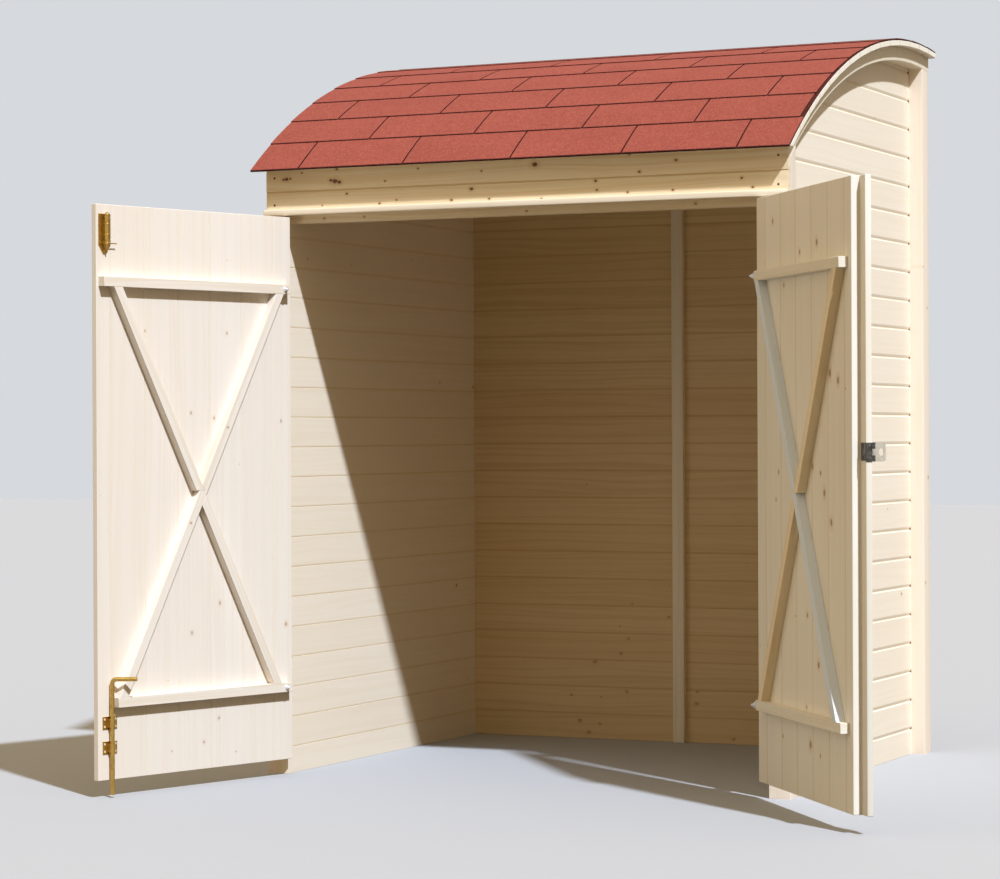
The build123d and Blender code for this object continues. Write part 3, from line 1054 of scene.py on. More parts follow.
def screw_head(place: Sequence[float], outward: Sequence[float], radius: float = 0.0036) -> Piece:
    """Builds a round screw head with a sunk slot.

    Args:
        place: The point on the surface.
        outward: The direction out of the surface.
        radius: The head's radius.

    Returns:
        The head.
    """
    spot, out = Vector(place), Vector(outward)
    head = Piece.bar(spot, spot + out * SCREW_HEIGHT, radius, 14).ease(0.0007, 2, 60.0)
    with head.bench() as mesh:
        bpy.ops.mesh.select_mode(type="FACE")
        bpy.ops.mesh.select_all(action="DESELECT")
        for face in mesh.faces:
            face.select_set(face.normal.dot(out) > 0.99)
        bpy.ops.mesh.inset(thickness=radius * SLOT_SHARE, depth=-SLOT_DEPTH)
    return head


@dataclass
class Walls(Assembly):
    """The side walls and the rear wall."""

    side: Matching = Matching(0.0866, 0.076, 24, vee_low=0.0042, vee_high=0.0085, vee_depth=0.002)
    back: Matching = Matching(0.0866, 0.080, 24, vee_low=0.0042, vee_high=0.0085, vee_depth=0.002)
    back_joint: float = -0.016
    board: float = 0.019
    arris: float = 0.0008
    nail: Point = (-0.0685, 0.002, 0.003)  # painted shade: dark dots drawn as nail heads where the grooves end at the rear post; their Y, their height over the joint, their radius
    shade_dot_let_in: float = 0.001
    inner_knots: tuple[Knot, ...] = (
        (-0.181, 0.434, 0.005), (-0.195, 0.323, 0.006), (-0.220, 0.275, 0.007), (-0.310, 0.247, 0.009),
        (-0.223, 0.362, 0.004), (-0.201, 0.154, 0.007), (-0.393, 0.137, 0.006), (-0.290, 0.134, 0.004),
        (-0.364, 0.056, 0.010), (-0.334, 0.019, 0.009), (-0.055, 0.395, 0.007), (0.041, 0.161, 0.006),
        (0.038, 0.124, 0.009), (-0.295, 0.048, 0.006), (0.162, 0.016, 0.007))

    def build(self) -> None:
        """Builds and dresses the walls."""
        for side, label in SIDES:
            self._side_wall(side, label)
        boards = {"board": self.back.pitch, "first": self.back.first, "seed": 3.0}
        # Painted shade: the rear wall's inner face gets darker, more golden tones than its outer face, for the shade
        # inside the shelter.
        inner = SpruceFinish("spruce_rear_inner_boards_painted_shade", knots=self.inner_knots, joint_shade=0.6, knot_shade=0.45,
                             figure=0.8, tones=((233, 208, 165), (225, 195, 147), (208, 175, 122)), **boards)
        outer = SpruceFinish("spruce_rear_outer_boards", joint_shade=0.45, joint=(222, 197, 152), knot_spacing=0.42,
                             figure=0.55, **boards)
        for label, start, end in (("left", -PLAN.opening, self.back_joint), ("right", self.back_joint, PLAN.opening)):
            panel = Piece.block((start, -self.board, 0.0), (end, 0.0, PLAN.uncut))
            panel.cut(*PLAN.planes(PLAN.deck_inner), saw=True)
            self.back.score(panel, Z, (Y, 0.0, -1.0), (Y, -self.board, 1.0))
            panel.ease(self.arris, 1)
            for wood in (outer, inner):
                panel.obj.data.materials.append(self.finishes.get(wood))
            # Faces turned into the shelter take the inner wood with its painted shade.
            for face in panel.obj.data.polygons:
                face.material_index = int(face.normal.y < -0.3)
            self.finish(panel, f"rear_wall_boards_{label}", outer, Slot.BOARDS, f"back_wall_{label}")

    def _side_wall(self, side: int, label: str) -> None:
        """Builds one side wall.

        Args:
            side: 1 for the right wall and -1 for the left one.
            label: The side's name.
        """
        wood = SpruceFinish(f"spruce_side_boards_{label}", along=(0, 1, 0), board=self.side.pitch,
                            first=self.side.first + 0.0015, seed=5.0 + side, joint_shade=0.45,
                            joint=(222, 197, 152), knot_spacing=0.42, figure=0.4,
                            knots=((-0.029, 1.131, 0.005), (-0.158, 0.491, 0.006)),
                            tones=((252, 241, 224), (250, 237, 217), (242, 224, 196)))
        start, end = sorted((side * PLAN.opening, side * PLAN.post_inner))
        wall = Piece.block((start, PLAN.header_back, 0.0), (end, 0.0, PLAN.uncut))
        wall.cut(*PLAN.planes(PLAN.deck_inner), saw=True)
        step_forward(wall)
        self.side.score(wall, Z, (X, side * PLAN.post_inner, -float(side)), (X, side * PLAN.opening, float(side)))
        wall.ease(self.arris, 1)
        self.finish(wall, f"side_wall_boards_{label}", wood, Slot.BOARDS, f"side_wall_{label}")
        # Painted shade: dark dots drawn as nail heads stand for the shade in the grooves' open ends beside the rear
        # post.
        shade_dot_y, rise, radius = self.nail
        spot = (side * (PLAN.post_inner - self.shade_dot_let_in), shade_dot_y, self.side.first + rise)
        head = nail_head(spot, (side, 0, 0), radius)
        heads = [head.copy((0, 0, joint - self.side.first)) for joint in self.side.joints()[1:]]
        self.finish(Piece.joined([head, *heads]), f"side_wall_groove_shade_dots_{label}", self.finishes.nail, Slot.STEEL)


@dataclass
class Frame(Assembly):
    """The posts, the curved beams, the batten of the rear wall and the parts over the doorway."""

    post_width: float = 0.064
    batten: tuple[float, float] = (-0.035, 0.003)
    batten_back: float = -0.019
    batten_face: float = -0.039
    beam_sweeps: tuple[tuple[float, int], ...] = ((8.0, 4), (-44.0, 22))  # to the rear and the front, with steps
    header_uncut: float = 1.85
    rail_height: float = 0.017
    rail_reach: float = 0.020
    arris: float = 0.0025
    batten_arris: float = 0.0015
    board_arris: float = 0.001
    rail_arris: float = 0.003
    vee: float = 0.003
    nail_inset: float = 0.027
    nail_levels: tuple[float, ...] = (1.641, 1.719)
    nail_radius: float = 0.0034
    header_knots: tuple[Knot, ...] = (
        (-0.730, 1.715, 0.009), (-0.572, 1.703, 0.012), (-0.534, 1.666, 0.005), (-0.429, 1.634, 0.005),
        (-0.375, 1.642, 0.004), (-0.201, 1.635, 0.006), (-0.139, 1.664, 0.008), (-0.084, 1.634, 0.005),
        (-0.306, 1.728, 0.004), (-0.108, 1.713, 0.004), (0.056, 1.724, 0.011), (0.369, 1.691, 0.006),
        (0.477, 1.718, 0.006), (0.239, 1.671, 0.006), (0.243, 1.646, 0.005), (0.334, 1.636, 0.005),
        (0.467, 1.637, 0.005), (0.666, 1.662, 0.005), (0.697, 1.636, 0.005), (-0.740, 1.714, 0.006),
        (-0.718, 1.716, 0.005), (-0.585, 1.706, 0.008), (-0.558, 1.700, 0.009), (-0.566, 1.737, 0.006),
        (-0.680, 1.731, 0.004), (-0.411, 1.697, 0.004))

    def build(self) -> None:
        """Builds and dresses the frame; the lintel, with the top bolt's hole, stays as drawn."""
        for side, label in SIDES:
            x_range = sorted((side * PLAN.post_inner, side * PLAN.post_outer))
            self._posts(x_range, side, label)
            self._beam(x_range, label)
        strip = Piece.block((self.batten[0], self.batten_face, 0.0), (self.batten[1], self.batten_back, PLAN.uncut))
        strip.cut(*PLAN.planes(PLAN.deck_inner), saw=True).ease(self.batten_arris)
        wood = SpruceFinish("spruce_rear_batten", along=(0, 0, 1), across=(1, 0, 0), seed=31.0)
        self.finish(strip, "rear_wall_batten", wood, Slot.TIMBER, "back_wall_batten")
        self._header()
        self.finishes.dress(SpruceFinish(
            "spruce_lintel", seed=47.0, knot_spacing=0.7, tones=((250, 237, 212), (247, 230, 198), (236, 212, 168)),
            knots=((-0.62, 1.600, 0.005), (-0.49, 1.600, 0.004), (0.02, 1.598, 0.004), (0.524, 1.600, 0.005))),
            "lintel")

    def _posts(self, x_range: Sequence[float], side: int, label: str) -> None:
        """Builds the front and the rear post of one side.

        Args:
            x_range: Their lowest and highest X.
            side: 1 for the right side and -1 for the left one.
            label: The side's name.
        """
        wood = SpruceFinish(f"spruce_posts_{label}", along=(0, 0, 1), across=(0, 1, 0), seed=11.0 + side,
                            knots=((0.84, -0.018, 0.006), (1.355, -0.022, 0.004), (0.52, -0.048, 0.005)),
                            knot_spacing=0.5, figure=0.4, tones=((247, 233, 217), (245, 230, 211), (238, 218, 191)))
        for name, start, end in (("rear", -self.post_width, 0.0), ("front", PLAN.front, PLAN.front + self.post_width)):
            post = Piece.block((x_range[0], max(start, PLAN.header_back), 0.0), (x_range[1], end, PLAN.uncut))
            post.cut(*PLAN.planes(PLAN.beam_inner), saw=True)
            if name == "front":
                step_forward(post)
            post.chamfer(lambda e: abs(abs(e.x) - PLAN.post_outer) < TOUCH and min(
                abs(e.y - start), abs(e.y - end)) < TOUCH, self.arris, 3)
            self.finish(post, f"{name}_post_timber_{label}", wood, Slot.TIMBER, f"{name}_post_{label}")

    def _beam(self, x_range: Sequence[float], label: str) -> None:
        """Builds the curved beam of one side from two halves that meet under the crown.

        Args:
            x_range: Its lowest and highest X.
            label: The side's name.
        """
        z_range = (PLAN.axis_z + PLAN.beam_inner, PLAN.axis_z + PLAN.deck_inner - PLAN.fit)
        beam = Piece.joined([Piece.section(x_range, z_range).spin(math.radians(sweep), steps)
                             for sweep, steps in self.beam_sweeps])
        with beam.bench():
            bpy.ops.mesh.remove_doubles(threshold=WELD)
        beam.work("FACE", lambda f: abs(f.y - PLAN.axis_y) < TOUCH, bpy.ops.mesh.delete, type="ONLY_FACE")
        beam.tidy().cut(plane(Y, 0.0), plane(Y, PLAN.header_back, -1), saw=True)
        beam.chamfer(lambda e: abs(abs(e.x) - PLAN.post_outer) < TOUCH and math.hypot(
            e.y - PLAN.axis_y, e.z - PLAN.axis_z) < PLAN.beam_inner + 0.001, self.arris, 3)
        wood = SpruceFinish("spruce_beams", round_the_roof=True, seed=21.0, knot_spacing=0.6, figure=0.6,
                            tones=((254, 245, 226), (250, 238, 212), (242, 222, 184)))
        self.finish(beam, f"curved_beam_{label}", wood, Slot.TIMBER, f"arch_beam_{label}")

    def _header(self) -> None:
        """Builds the header boards, the rail and the nails."""
        wood = SpruceFinish("spruce_header", board=0.071, first=PLAN.header_joint, seed=41.0, knots=self.header_knots,
                            joint_shade=0.4, knot_scale=0.6, knot_shade=0.95, heart=(104, 68, 34),
                            tones=((249, 235, 208), (245, 227, 194), (232, 206, 162)))
        half = PLAN.post_outer
        for name, bottom, top in (("lower", PLAN.header_bottom, PLAN.header_joint),
                                  ("upper", PLAN.header_joint, self.header_uncut)):
            board = Piece.block((-half, PLAN.front, bottom), (half, PLAN.header_back, top))
            if name == "upper":
                board.cut(*PLAN.planes(PLAN.deck_inner, 96)[60:], saw=True)
            board.chamfer(lambda e: abs(e.y - PLAN.front) < TOUCH and abs(e.z - PLAN.header_joint) < TOUCH, self.vee)
            if name == "lower":
                board.ease(self.board_arris, 1)
            self.finish(board, f"header_{name}", wood, Slot.TIMBER, f"header_board_{name}")
        rail = Piece.block((-half, PLAN.front - self.rail_reach, PLAN.header_bottom),
                           (half, PLAN.front, PLAN.header_bottom + self.rail_height)).ease(self.rail_arris, 3)
        wood = SpruceFinish("spruce_rail", seed=43.0, knot_spacing=0.8,
                            tones=((248, 237, 219), (245, 231, 209), (234, 216, 186)))
        self.finish(rail, "drip_rail_strip", wood, Slot.TIMBER, "drip_rail")
        heads = [nail_head((x, PLAN.front, z), (0, -1, 0), self.nail_radius)
                 for x in (self.nail_inset - half, half - self.nail_inset) for z in self.nail_levels]
        self.finish(Piece.joined(heads), "header_nails", self.finishes.nail, Slot.STEEL)


@dataclass
class Roof(Assembly):
    """The curved deck of boards and the rows of shingles."""

    boards: int = 15
    behind: float = math.radians(0.8)  # how far the deck is swept past the rear face before it is sawn
    seam: float = 0.0009
    seam_depth: float = 0.0012
    seam_reach: float = 2e-4  # points nearer to a joint than this are let in
    arris: float = 0.0012
    tab: float = 1 / 3
    gap: float = 0.005
    overlap: float = 0.026
    thickness: float = 0.0026
    thinner: tuple[tuple[int, float], ...] = ((8, 0.0014), (9, 0.0020))  # the rows that lie at the crown
    rows: tuple[float, ...] = (38.63, 34.08, 29.62, 25.05, 20.48, 15.98, 11.36, 6.75, 2.15, -2.45)
    first_joint: float = -0.663
    steps: int = 7
    sheet: float = 0.0012
    sheet_steps: int = 48
    sheet_back: float = 0.001  # how far the felt's edge stays behind the shingles'
    worn: float = 0.004
    short: tuple[float, ...] = (0.001, 0.012, 0.009, 0.006, 0.004, 0.002, 0.001, 0.0, 0.0, 0.0)  # at the right verge

    def build(self) -> None:
        """Builds and dresses the roof."""
        self._deck()
        self._felt()
        self._shingles()

    @property
    def end(self) -> float:
        """Returns the angle of the covering's rear edge, in degrees."""
        return -math.degrees(PLAN.rear_angle) - 0.1

    def _deck(self) -> None:
        """Builds the deck of flat boards laid round the curve."""
        half = PLAN.roof_half
        sweep = PLAN.eave_angle + PLAN.rear_angle + self.behind
        deck = Piece.section((-half, half), (PLAN.axis_z + PLAN.deck_inner, PLAN.axis_z + PLAN.deck_outer))
        deck.place(self._round(PLAN.eave_angle)).spin(sweep, self.boards)
        deck.cut(plane(Y, 0.0), plane(Z, PLAN.on_curve(PLAN.deck_outer, PLAN.eave_angle)[1], -1), saw=True)
        step = sweep / self.boards
        joints = [PLAN.eave_angle - step * number for number in range(1, self.boards)]
        small = self.seam / PLAN.deck_inner
        places = []
        for angle in (joint + way for joint in joints for way in (-small, small)):
            y, z = PLAN.on_curve(PLAN.deck_inner, angle)
            places.append((Vector((0, y, z)), Vector((0, math.cos(angle), math.sin(angle)))))
        deck.cut(*places)
        with deck.bench() as mesh:
            for joint in joints:
                self._seam(mesh, joint, small)
        deck.ease(self.arris, 1, 70.0)
        wood = SpruceFinish("spruce_deck", round_the_roof=True, board=step * PLAN.deck_outer,
                            first=PLAN.eave_angle * PLAN.deck_outer, seed=51.0, joint_shade=0.4,
                            tones=((254, 249, 239), (252, 244, 229), (246, 232, 208)))
        self.finish(deck, "roof_deck_boards", wood, Slot.TIMBER, "roof_deck")

    def _seam(self, mesh: bmesh.types.BMesh, joint: float, small: float) -> None:
        """Lets in the joint between two boards of the deck, on its inner face and its ends.

        Args:
            mesh: The deck in edit mode.
            joint: The joint's angle.
            small: Half the seam's angle.
        """
        out = Vector((0, -math.sin(joint), math.cos(joint))) * self.seam_depth
        y, z = PLAN.on_curve(PLAN.deck_inner, joint)
        for vert in mesh.verts:
            if abs(vert.co.y - y) < self.seam_reach and abs(vert.co.z - z) < self.seam_reach:
                vert.co += out
        for vert in mesh.verts:
            turn = math.atan2(PLAN.axis_y - vert.co.y, vert.co.z - PLAN.axis_z) - joint
            if abs(turn) < small / 4 and abs(abs(vert.co.x) - PLAN.roof_half) < TOUCH:
                vert.co.x -= math.copysign(self.seam_depth, vert.co.x)

    @staticmethod
    def _round(angle: float) -> Matrix:
        """Returns the turn about the roof's axis from the crown towards the front by an angle."""
        middle = Matrix.Translation(PLAN.axis)
        return middle @ Matrix.Rotation(angle, 4, "X") @ middle.inverted()

    def _felt(self) -> None:
        """Builds the sheet of felt under the shingles."""
        half, low = PLAN.roof_half, PLAN.axis_z + PLAN.deck_outer
        sheet = Piece.section((-half, half), (low, low + self.sheet))
        sheet.spin(math.radians(self.rows[0] - self.end), self.sheet_steps)
        back = self.sheet_back / PLAN.deck_outer
        sheet.place(self._round(math.radians(self.rows[0]) - back)).cut(plane(Y, 0.0), saw=True)
        self.finish(sheet, "roofing_felt", self.finishes.bitumen, Slot.SHINGLES)

    def _course(self, sweep: float, below: float, own: float) -> Piece:
        """Builds one tab of a row, lying at the crown with its lower edge at the crown's line.

        Args:
            sweep: The angle from its lower edge to its upper edge.
            below: The thickness of what lies under its lower edge.
            own: Its own thickness.

        Returns:
            The tab, tilted so that its lower edge is lifted.
        """
        low = PLAN.axis_z + PLAN.deck_outer
        tab = Piece.section((0, self.tab - self.gap), (low, low + own)).spin(sweep, self.steps)
        tab.cut(plane(Y, PLAN.axis_y + self.worn))
        middle = (0, *PLAN.on_curve(PLAN.deck_outer, -sweep))
        lift = math.asin(below / (sweep * PLAN.deck_outer))
        for turn in (lift, -2 * lift):  # the second undoes the first where Blender turned it downwards
            with tab.bench():
                bpy.ops.transform.rotate(value=turn, orient_axis="X", center_override=middle)
            heights = [v.co.z for v in tab.obj.data.vertices if abs(v.co.y - PLAN.axis_y) < 0.002]
            if max(heights) >= low + own:
                break
        return tab

    def _shingles(self) -> None:
        """Builds the rows of tabs from the eave to the rear edge."""
        below = self.thickness
        for number, (foot, top) in enumerate(zip(self.rows, [*self.rows[1:], self.end])):
            own = dict(self.thinner).get(number, self.thickness)
            overlap = self.overlap if number < len(self.rows) - 1 else 0.0
            tab = self._course(math.radians(foot - top) + overlap / PLAN.deck_outer, below, own)
            self._paint(tab, self.worn / PLAN.deck_outer, math.radians(foot - top) * 1.02)
            start = self.first_joint + (self.tab / 2 if number % 2 else 0.0) + self.gap / 2
            tabs = []
            for count in range(-2, 7):
                x = start + self.tab * count
                if -PLAN.roof_half <= x + self.tab and x <= PLAN.roof_half:
                    lay = math.sin(12.9898 * (number * 9 + count)) * 0.0004
                    tabs.append(tab.copy((x, lay, 0)))
            bpy.data.objects.remove(tab.obj)
            row = Piece.joined(tabs)
            row.cut(plane(X, PLAN.roof_half - self.short[number]), plane(X, -PLAN.roof_half, -1), saw=True)
            row.place(self._round(math.radians(foot))).cut(plane(Y, 0.0), saw=True)
            self.finish(row, f"shingle_row_{number + 1:02d}", ShingleFinish(), Slot.SHINGLES,
                        *(["roof_covering"] if number == 0 else []))
            below = own

    def _paint(self, tab: Piece, start: float, end: float) -> None:
        """Gives a tab its granules on top, and bitumen on its edges, along its worn foot and under the row above.

        Args:
            tab: The tab.
            start: The angle from which the granules show.
            end: The angle up to which they show.
        """
        for finish in (ShingleFinish(), self.finishes.bitumen):
            tab.obj.data.materials.append(self.finishes.get(finish))
        for face in tab.obj.data.polygons:
            turn = math.atan2(face.center.y - PLAN.axis_y, face.center.z - PLAN.axis_z)
            outward = Vector((0, math.sin(turn), math.cos(turn)))
            face.material_index = 0 if face.normal.dot(outward) > 0.9 and start < turn < end else 1


@dataclass
class Leaf(Assembly):
    """A door leaf of upright boards with ledges and a cross of braces, in its own closed place."""

    side: int
    label: str
    body: Body
    open_angle: float
    top_ledge: tuple[float, float]
    bottom_ledge: tuple[float, float]
    seed: float
    knots: tuple[Knot, ...]  # with the distance from the hinge before the height
    hinge_x: float = 0.7335
    hinge_y: float = -1.280
    hinged_edge: float = 0.0025
    free_edge: float = 0.731
    outer_face: float = 0.006
    inner_face: float = 0.024
    batten_face: float = 0.048
    bottom: float = 0.047
    top: float = 1.603
    ledge_half: float = 0.0135
    bottom_level: float = 0.256
    top_level: float = 1.394
    brace_low: tuple[float, float] = (0.0805, 0.659)
    brace_high: tuple[float, float] = (0.0665, 0.672)
    brace_joint: float = 0.82434
    boards: Matching = Matching(pitch=0.1215, first=0.0735, count=6)
    bolt_u: float = 0.045
    bolt_reach: float = 0.011
    washer: float = 0.0014
    nut: float = 0.005
    board_arris: float = 0.001
    batten_arris: float = 0.0011
    joint_shade: float = 0.15
    knot_shade: float = 0.5
    # Painted light: the sunlit left leaf keeps these tones, a little darker than those of the right leaf in shade.
    tones: Tones = ((241, 233, 224), (238, 228, 215), (231, 216, 194))
    rising_tones: Tones | None = None
    # Painted sheen: the pale bluish tones given to the right leaf's falling braces stand in for the glint of light on
    # them.
    falling_sheen_tones: Tones | None = None

    def hung(self) -> Matrix:
        """Returns the move from the leaf's own place to the open door."""
        pin = Matrix.Translation((self.side * self.hinge_x, self.hinge_y, 0))
        return pin @ Matrix.Rotation(self.side * math.radians(self.open_angle), 4, "Z")

    def across(self, u: float) -> float:
        """Returns the X of a distance from the hinge pin along the leaf."""
        return -self.side * u

    def block(self, u_range: Sequence[float], n_range: Sequence[float], z_range: Sequence[float]) -> Piece:
        """Starts a piece in the leaf's own place.

        Args:
            u_range: From the hinge pin along the leaf.
            n_range: Through the leaf, inwards.
            z_range: Upwards.

        Returns:
            The piece.
        """
        start, end = sorted(self.across(u) for u in u_range)
        return Piece.block((start, n_range[0], z_range[0]), (end, n_range[1], z_range[1]))

    def wood(self, name: str, seed: float, along: Sequence[float] = (0, 0, 1), across: Sequence[float] = (1, 0, 0),
             **more: object) -> SpruceFinish:
        """Describes spruce whose grain follows the open leaf.

        Args:
            name: The finish's name.
            seed: Its seed.
            along: The grain's direction in the leaf's own place.
            across: The direction across it.
            more: Other values of the finish.

        Returns:
            The finish.
        """
        turn = self.hung().to_3x3()
        return SpruceFinish(name, tuple(self.hung().translation), tuple(turn @ Vector(along)),
                            tuple(turn @ Vector(across)), seed=seed, **{"tones": self.tones, **more})

    def build(self) -> None:
        """Builds and dresses the leaf."""
        self._panel()
        for level, u_range, name in ((self.top_level, self.top_ledge, "top"),
                                     (self.bottom_level, self.bottom_ledge, "bottom")):
            bar = self.block(u_range, (self.inner_face, self.batten_face),
                             (level - self.ledge_half, level + self.ledge_half))
            bar.ease(self.batten_arris).place(self.hung())
            wood = self.wood(f"spruce_{self.label}_ledges", self.seed + 1, (1, 0, 0), (0, 0, 1), knot_spacing=0.6)
            self.finish(bar, f"{self.label}_leaf_ledge_{name}", wood, Slot.TIMBER,
                        f"{self.label}_door_ledge_{name}", body=self.body)
        self._braces()
        self._hinge_bolts()

    def _panel(self) -> None:
        """Builds the panel of boards."""
        panel = self.block((self.hinged_edge, self.free_edge), (self.outer_face, self.inner_face),
                           (self.bottom, self.top))
        boards = self.boards
        if self.side > 0:
            boards = Matching(boards.pitch, -(boards.first + boards.pitch * (boards.count - 1)), boards.count)
        boards.score(panel, X, (Y, self.outer_face, 1.0), (Y, self.inner_face, -1.0))
        panel.ease(self.board_arris, 1).place(self.hung())
        wood = self.wood(f"spruce_{self.label}_leaf", self.seed, board=boards.pitch, first=boards.first, figure=0.45,
                         knots=tuple((z, self.across(u), radius) for u, z, radius in self.knots),
                         joint_shade=self.joint_shade, knot_shade=self.knot_shade)
        self.finish(panel, f"{self.label}_leaf_boards", wood, Slot.BOARDS, f"{self.label}_door_panel", body=self.body)

    def _braces(self) -> None:
        """Builds the four half braces of the cross."""
        low = self.bottom_level + self.ledge_half
        high = self.top_level - self.ledge_half
        rising = (self.brace_low[0], self.brace_high[1])
        falling = (self.brace_low[1], self.brace_high[0])
        joint = self.brace_joint
        for name, line, start, end, against in (
                ("top_outer", rising, joint, high, None), ("top_inner", falling, joint, high, rising),
                ("bottom_outer", falling, low, joint, None), ("bottom_inner", rising, low, joint, falling)):
            slope = math.atan2(line[1] - line[0], high - low)
            half = self.ledge_half / math.cos(slope)
            bar = self.block((line[0] - half, line[0] + half), (self.inner_face, self.batten_face), (low, high))
            bar.shift(lambda v: v.z > joint, (self.across(line[1] - line[0]), 0, 0))
            bar.cut(plane(Z, end), plane(Z, start, -1), saw=True)
            if against is not None:
                self._butt(bar, against, low, high, upper=end == high)
            bar.ease(self.batten_arris, angle=50.0).place(self.hung())
            tilt = Vector((self.across(math.sin(slope)), 0, math.cos(slope)))
            # The right leaf's falling braces take pale bluish tones, a painted sheen.
            tones = self.rising_tones if line is rising else self.falling_sheen_tones
            wood = self.wood(f"spruce_{self.label}_brace_{name}", self.seed + 2 + len(name) * 0.1, tilt,
                             (tilt.z, 0, -tilt.x), knot_spacing=0.5, tones=tones or self.tones)
            self.finish(bar, f"{self.label}_leaf_brace_{name}", wood, Slot.TIMBER,
                        f"{self.label}_door_brace_{name}", body=self.body)

    def _butt(self, bar: Piece, against: Sequence[float], low: float, high: float, upper: bool) -> None:
        """Saws a half brace along the face of the one that it butts against.

        Args:
            bar: The half brace.
            against: The other brace's places at the bottom and the top ledge.
            low: The lower end's height.
            high: The upper end's height.
            upper: Whether the half brace is above the joint.
        """
        slope = math.atan2(against[1] - against[0], high - low)
        toward = -1.0 if (against[1] > against[0]) == upper else 1.0
        u = against[0] + toward * (self.ledge_half / math.cos(slope))
        out = Vector((self.across(-toward * math.cos(slope)), 0, toward * math.sin(slope)))
        bar.cut((Vector((self.across(u), 0, low)), out), saw=True)

    def _hinge_bolts(self) -> None:
        """Builds the bolt ends, washers and nuts that show on the ledges."""
        parts = []
        for level in (self.bottom_level, self.top_level):
            for start, end, radius, sides, soft, angle in (
                    (-0.004, self.bolt_reach, 0.003, 14, 0.0006, 60.0), (0.0, self.washer, 0.0085, 20, 0.0003, 60.0),
                    (self.washer, self.washer + self.nut, 0.0058, 6, 0.0005, 50.0)):
                foot, tip = ((self.across(self.bolt_u), self.batten_face + n, level) for n in (start, end))
                parts.append(Piece.bar(foot, tip, radius, sides).ease(soft, 1, angle))
        # The bolt ends and nuts take zinc with a painted reflection.
        self.finish(Piece.joined(parts).place(self.hung()), f"{self.label}_hinge_bolt_nuts",
                    self.finishes.zinc_painted_reflection, Slot.STEEL, body=self.body)


@dataclass
class Hinges(Assembly):
    """The strap hinges with their screws and round bolt heads, on the outer faces."""

    gauge: float = 0.0025
    strap_holes: tuple[float, ...] = (0.10, 0.17, 0.24, 0.30)
    plate_holes: tuple[float, ...] = (-0.020, -0.042)
    plate_rises: tuple[float, ...] = (-0.026, 0.026)
    dome_radius: float = 0.008
    dome_height: float = 0.0035
    dome_round: float = 0.0024

    def build(self, leaf: Leaf) -> None:
        """Dresses the hinges of a leaf.

        Args:
            leaf: The leaf.
        """
        steel = self.finishes.steel
        self.finishes.dress(steel, f"hinge_plates_{leaf.label}", f"{leaf.label}_door_hinge_straps")
        face = leaf.outer_face - self.gauge
        heads, screws = [], []
        for level in (leaf.bottom_level, leaf.top_level):
            x = leaf.across(leaf.bolt_u)
            dome = Piece.bar((x, face, level), (x, face - self.dome_height, level), self.dome_radius)
            heads.append(dome.ease(self.dome_round, 3, 60.0))
            for u in self.strap_holes:
                heads.append(screw_head((leaf.across(u), face, level), (0, -1, 0)))
            for u in self.plate_holes:
                for rise in self.plate_rises:
                    screws.append(screw_head((leaf.across(u), face, level + rise), (0, -1, 0)))
        self.finish(Piece.joined(heads).place(leaf.hung()), f"{leaf.label}_strap_bolts_and_screws", steel, Slot.STEEL,
                    body=leaf.body)
        pin = Matrix.Translation((leaf.side * leaf.hinge_x, leaf.hinge_y, 0))
        self.finish(Piece.joined(screws).place(pin), f"{leaf.label}_hinge_plate_screws", steel, Slot.STEEL)


@dataclass
class Bolts(Assembly):
    """The drop bolt and the barrel bolt of the left leaf."""

    keeper_levels: tuple[float, ...] = (0.135, 0.202)
    keeper_shifts: tuple[float, ...] = (-0.019, 0.019)
    keeper_rises: tuple[float, ...] = (-0.010, 0.010)
    drop_u: float = 0.691
    top_u: float = 0.702
    plate_face: float = 0.026
    plate_half: float = 0.021
    plate_foot: float = 1.493
    plate_shifts: tuple[float, ...] = (-0.016, 0.016)
    screw_levels: tuple[float, ...] = (1.501, 1.522, 1.548, 1.569)
    screw_radius: float = 0.0030
    band_levels: tuple[float, ...] = (1.497, 1.520, 1.548, 1.574)
    band_half: float = 0.0025
    band_radius: float = 0.0082
    tongue_tip: float = 1.468
    tongue_taper: float = 0.22
    barrel_n: float = 0.036

    def build(self, leaf: Leaf) -> None:
        """Dresses both bolts.

        Args:
            leaf: The left leaf.
        """
        brass = self.finishes.brass
        self.finishes.dress(brass, "drop_bolt", "drop_bolt_keepers", "top_bolt", "top_bolt_plate")
        screws = [self._screw(leaf, self.drop_u + shift, level + rise) for level in self.keeper_levels
                  for shift in self.keeper_shifts for rise in self.keeper_rises]
        # The keeper screws take pale brass, a painted highlight.
        self.finish(Piece.joined(screws).place(leaf.hung()), "keeper_screws", self.finishes.brass_painted_highlight, Slot.BRASS,
                    body=leaf.body)
        middle = leaf.across(self.top_u)
        parts = [self._screw(leaf, self.top_u + shift, level) for shift in self.plate_shifts
                 for level in self.screw_levels]
        for level in self.band_levels:
            foot, tip = ((middle, self.barrel_n, level + way * self.band_half) for way in (-1, 1))
            parts.append(Piece.bar(foot, tip, self.band_radius).ease(0.001, 2, 60.0))
        tongue = Piece.block((middle - self.plate_half, leaf.inner_face, self.tongue_tip),
                             (middle + self.plate_half, self.plate_face, self.plate_foot))
        tongue.work("VERT", lambda v: v.z < self.tongue_tip + TOUCH, bpy.ops.transform.resize,
                    value=(self.tongue_taper, 1.0, 1.0), center_override=(middle, leaf.inner_face, self.tongue_tip))
        parts.append(tongue.ease(0.0004, 1, 40.0))
        self.finish(Piece.joined(parts).place(leaf.hung()), "top_bolt_bands_and_screws", brass, Slot.BRASS,
                    body=leaf.body)

    def _screw(self, leaf: Leaf, u: float, level: float) -> Piece:
        """Returns a screw head on a plate, at a distance from the hinge and a height."""
        return screw_head((leaf.across(u), self.plate_face, level), (0, 1, 0), self.screw_radius)


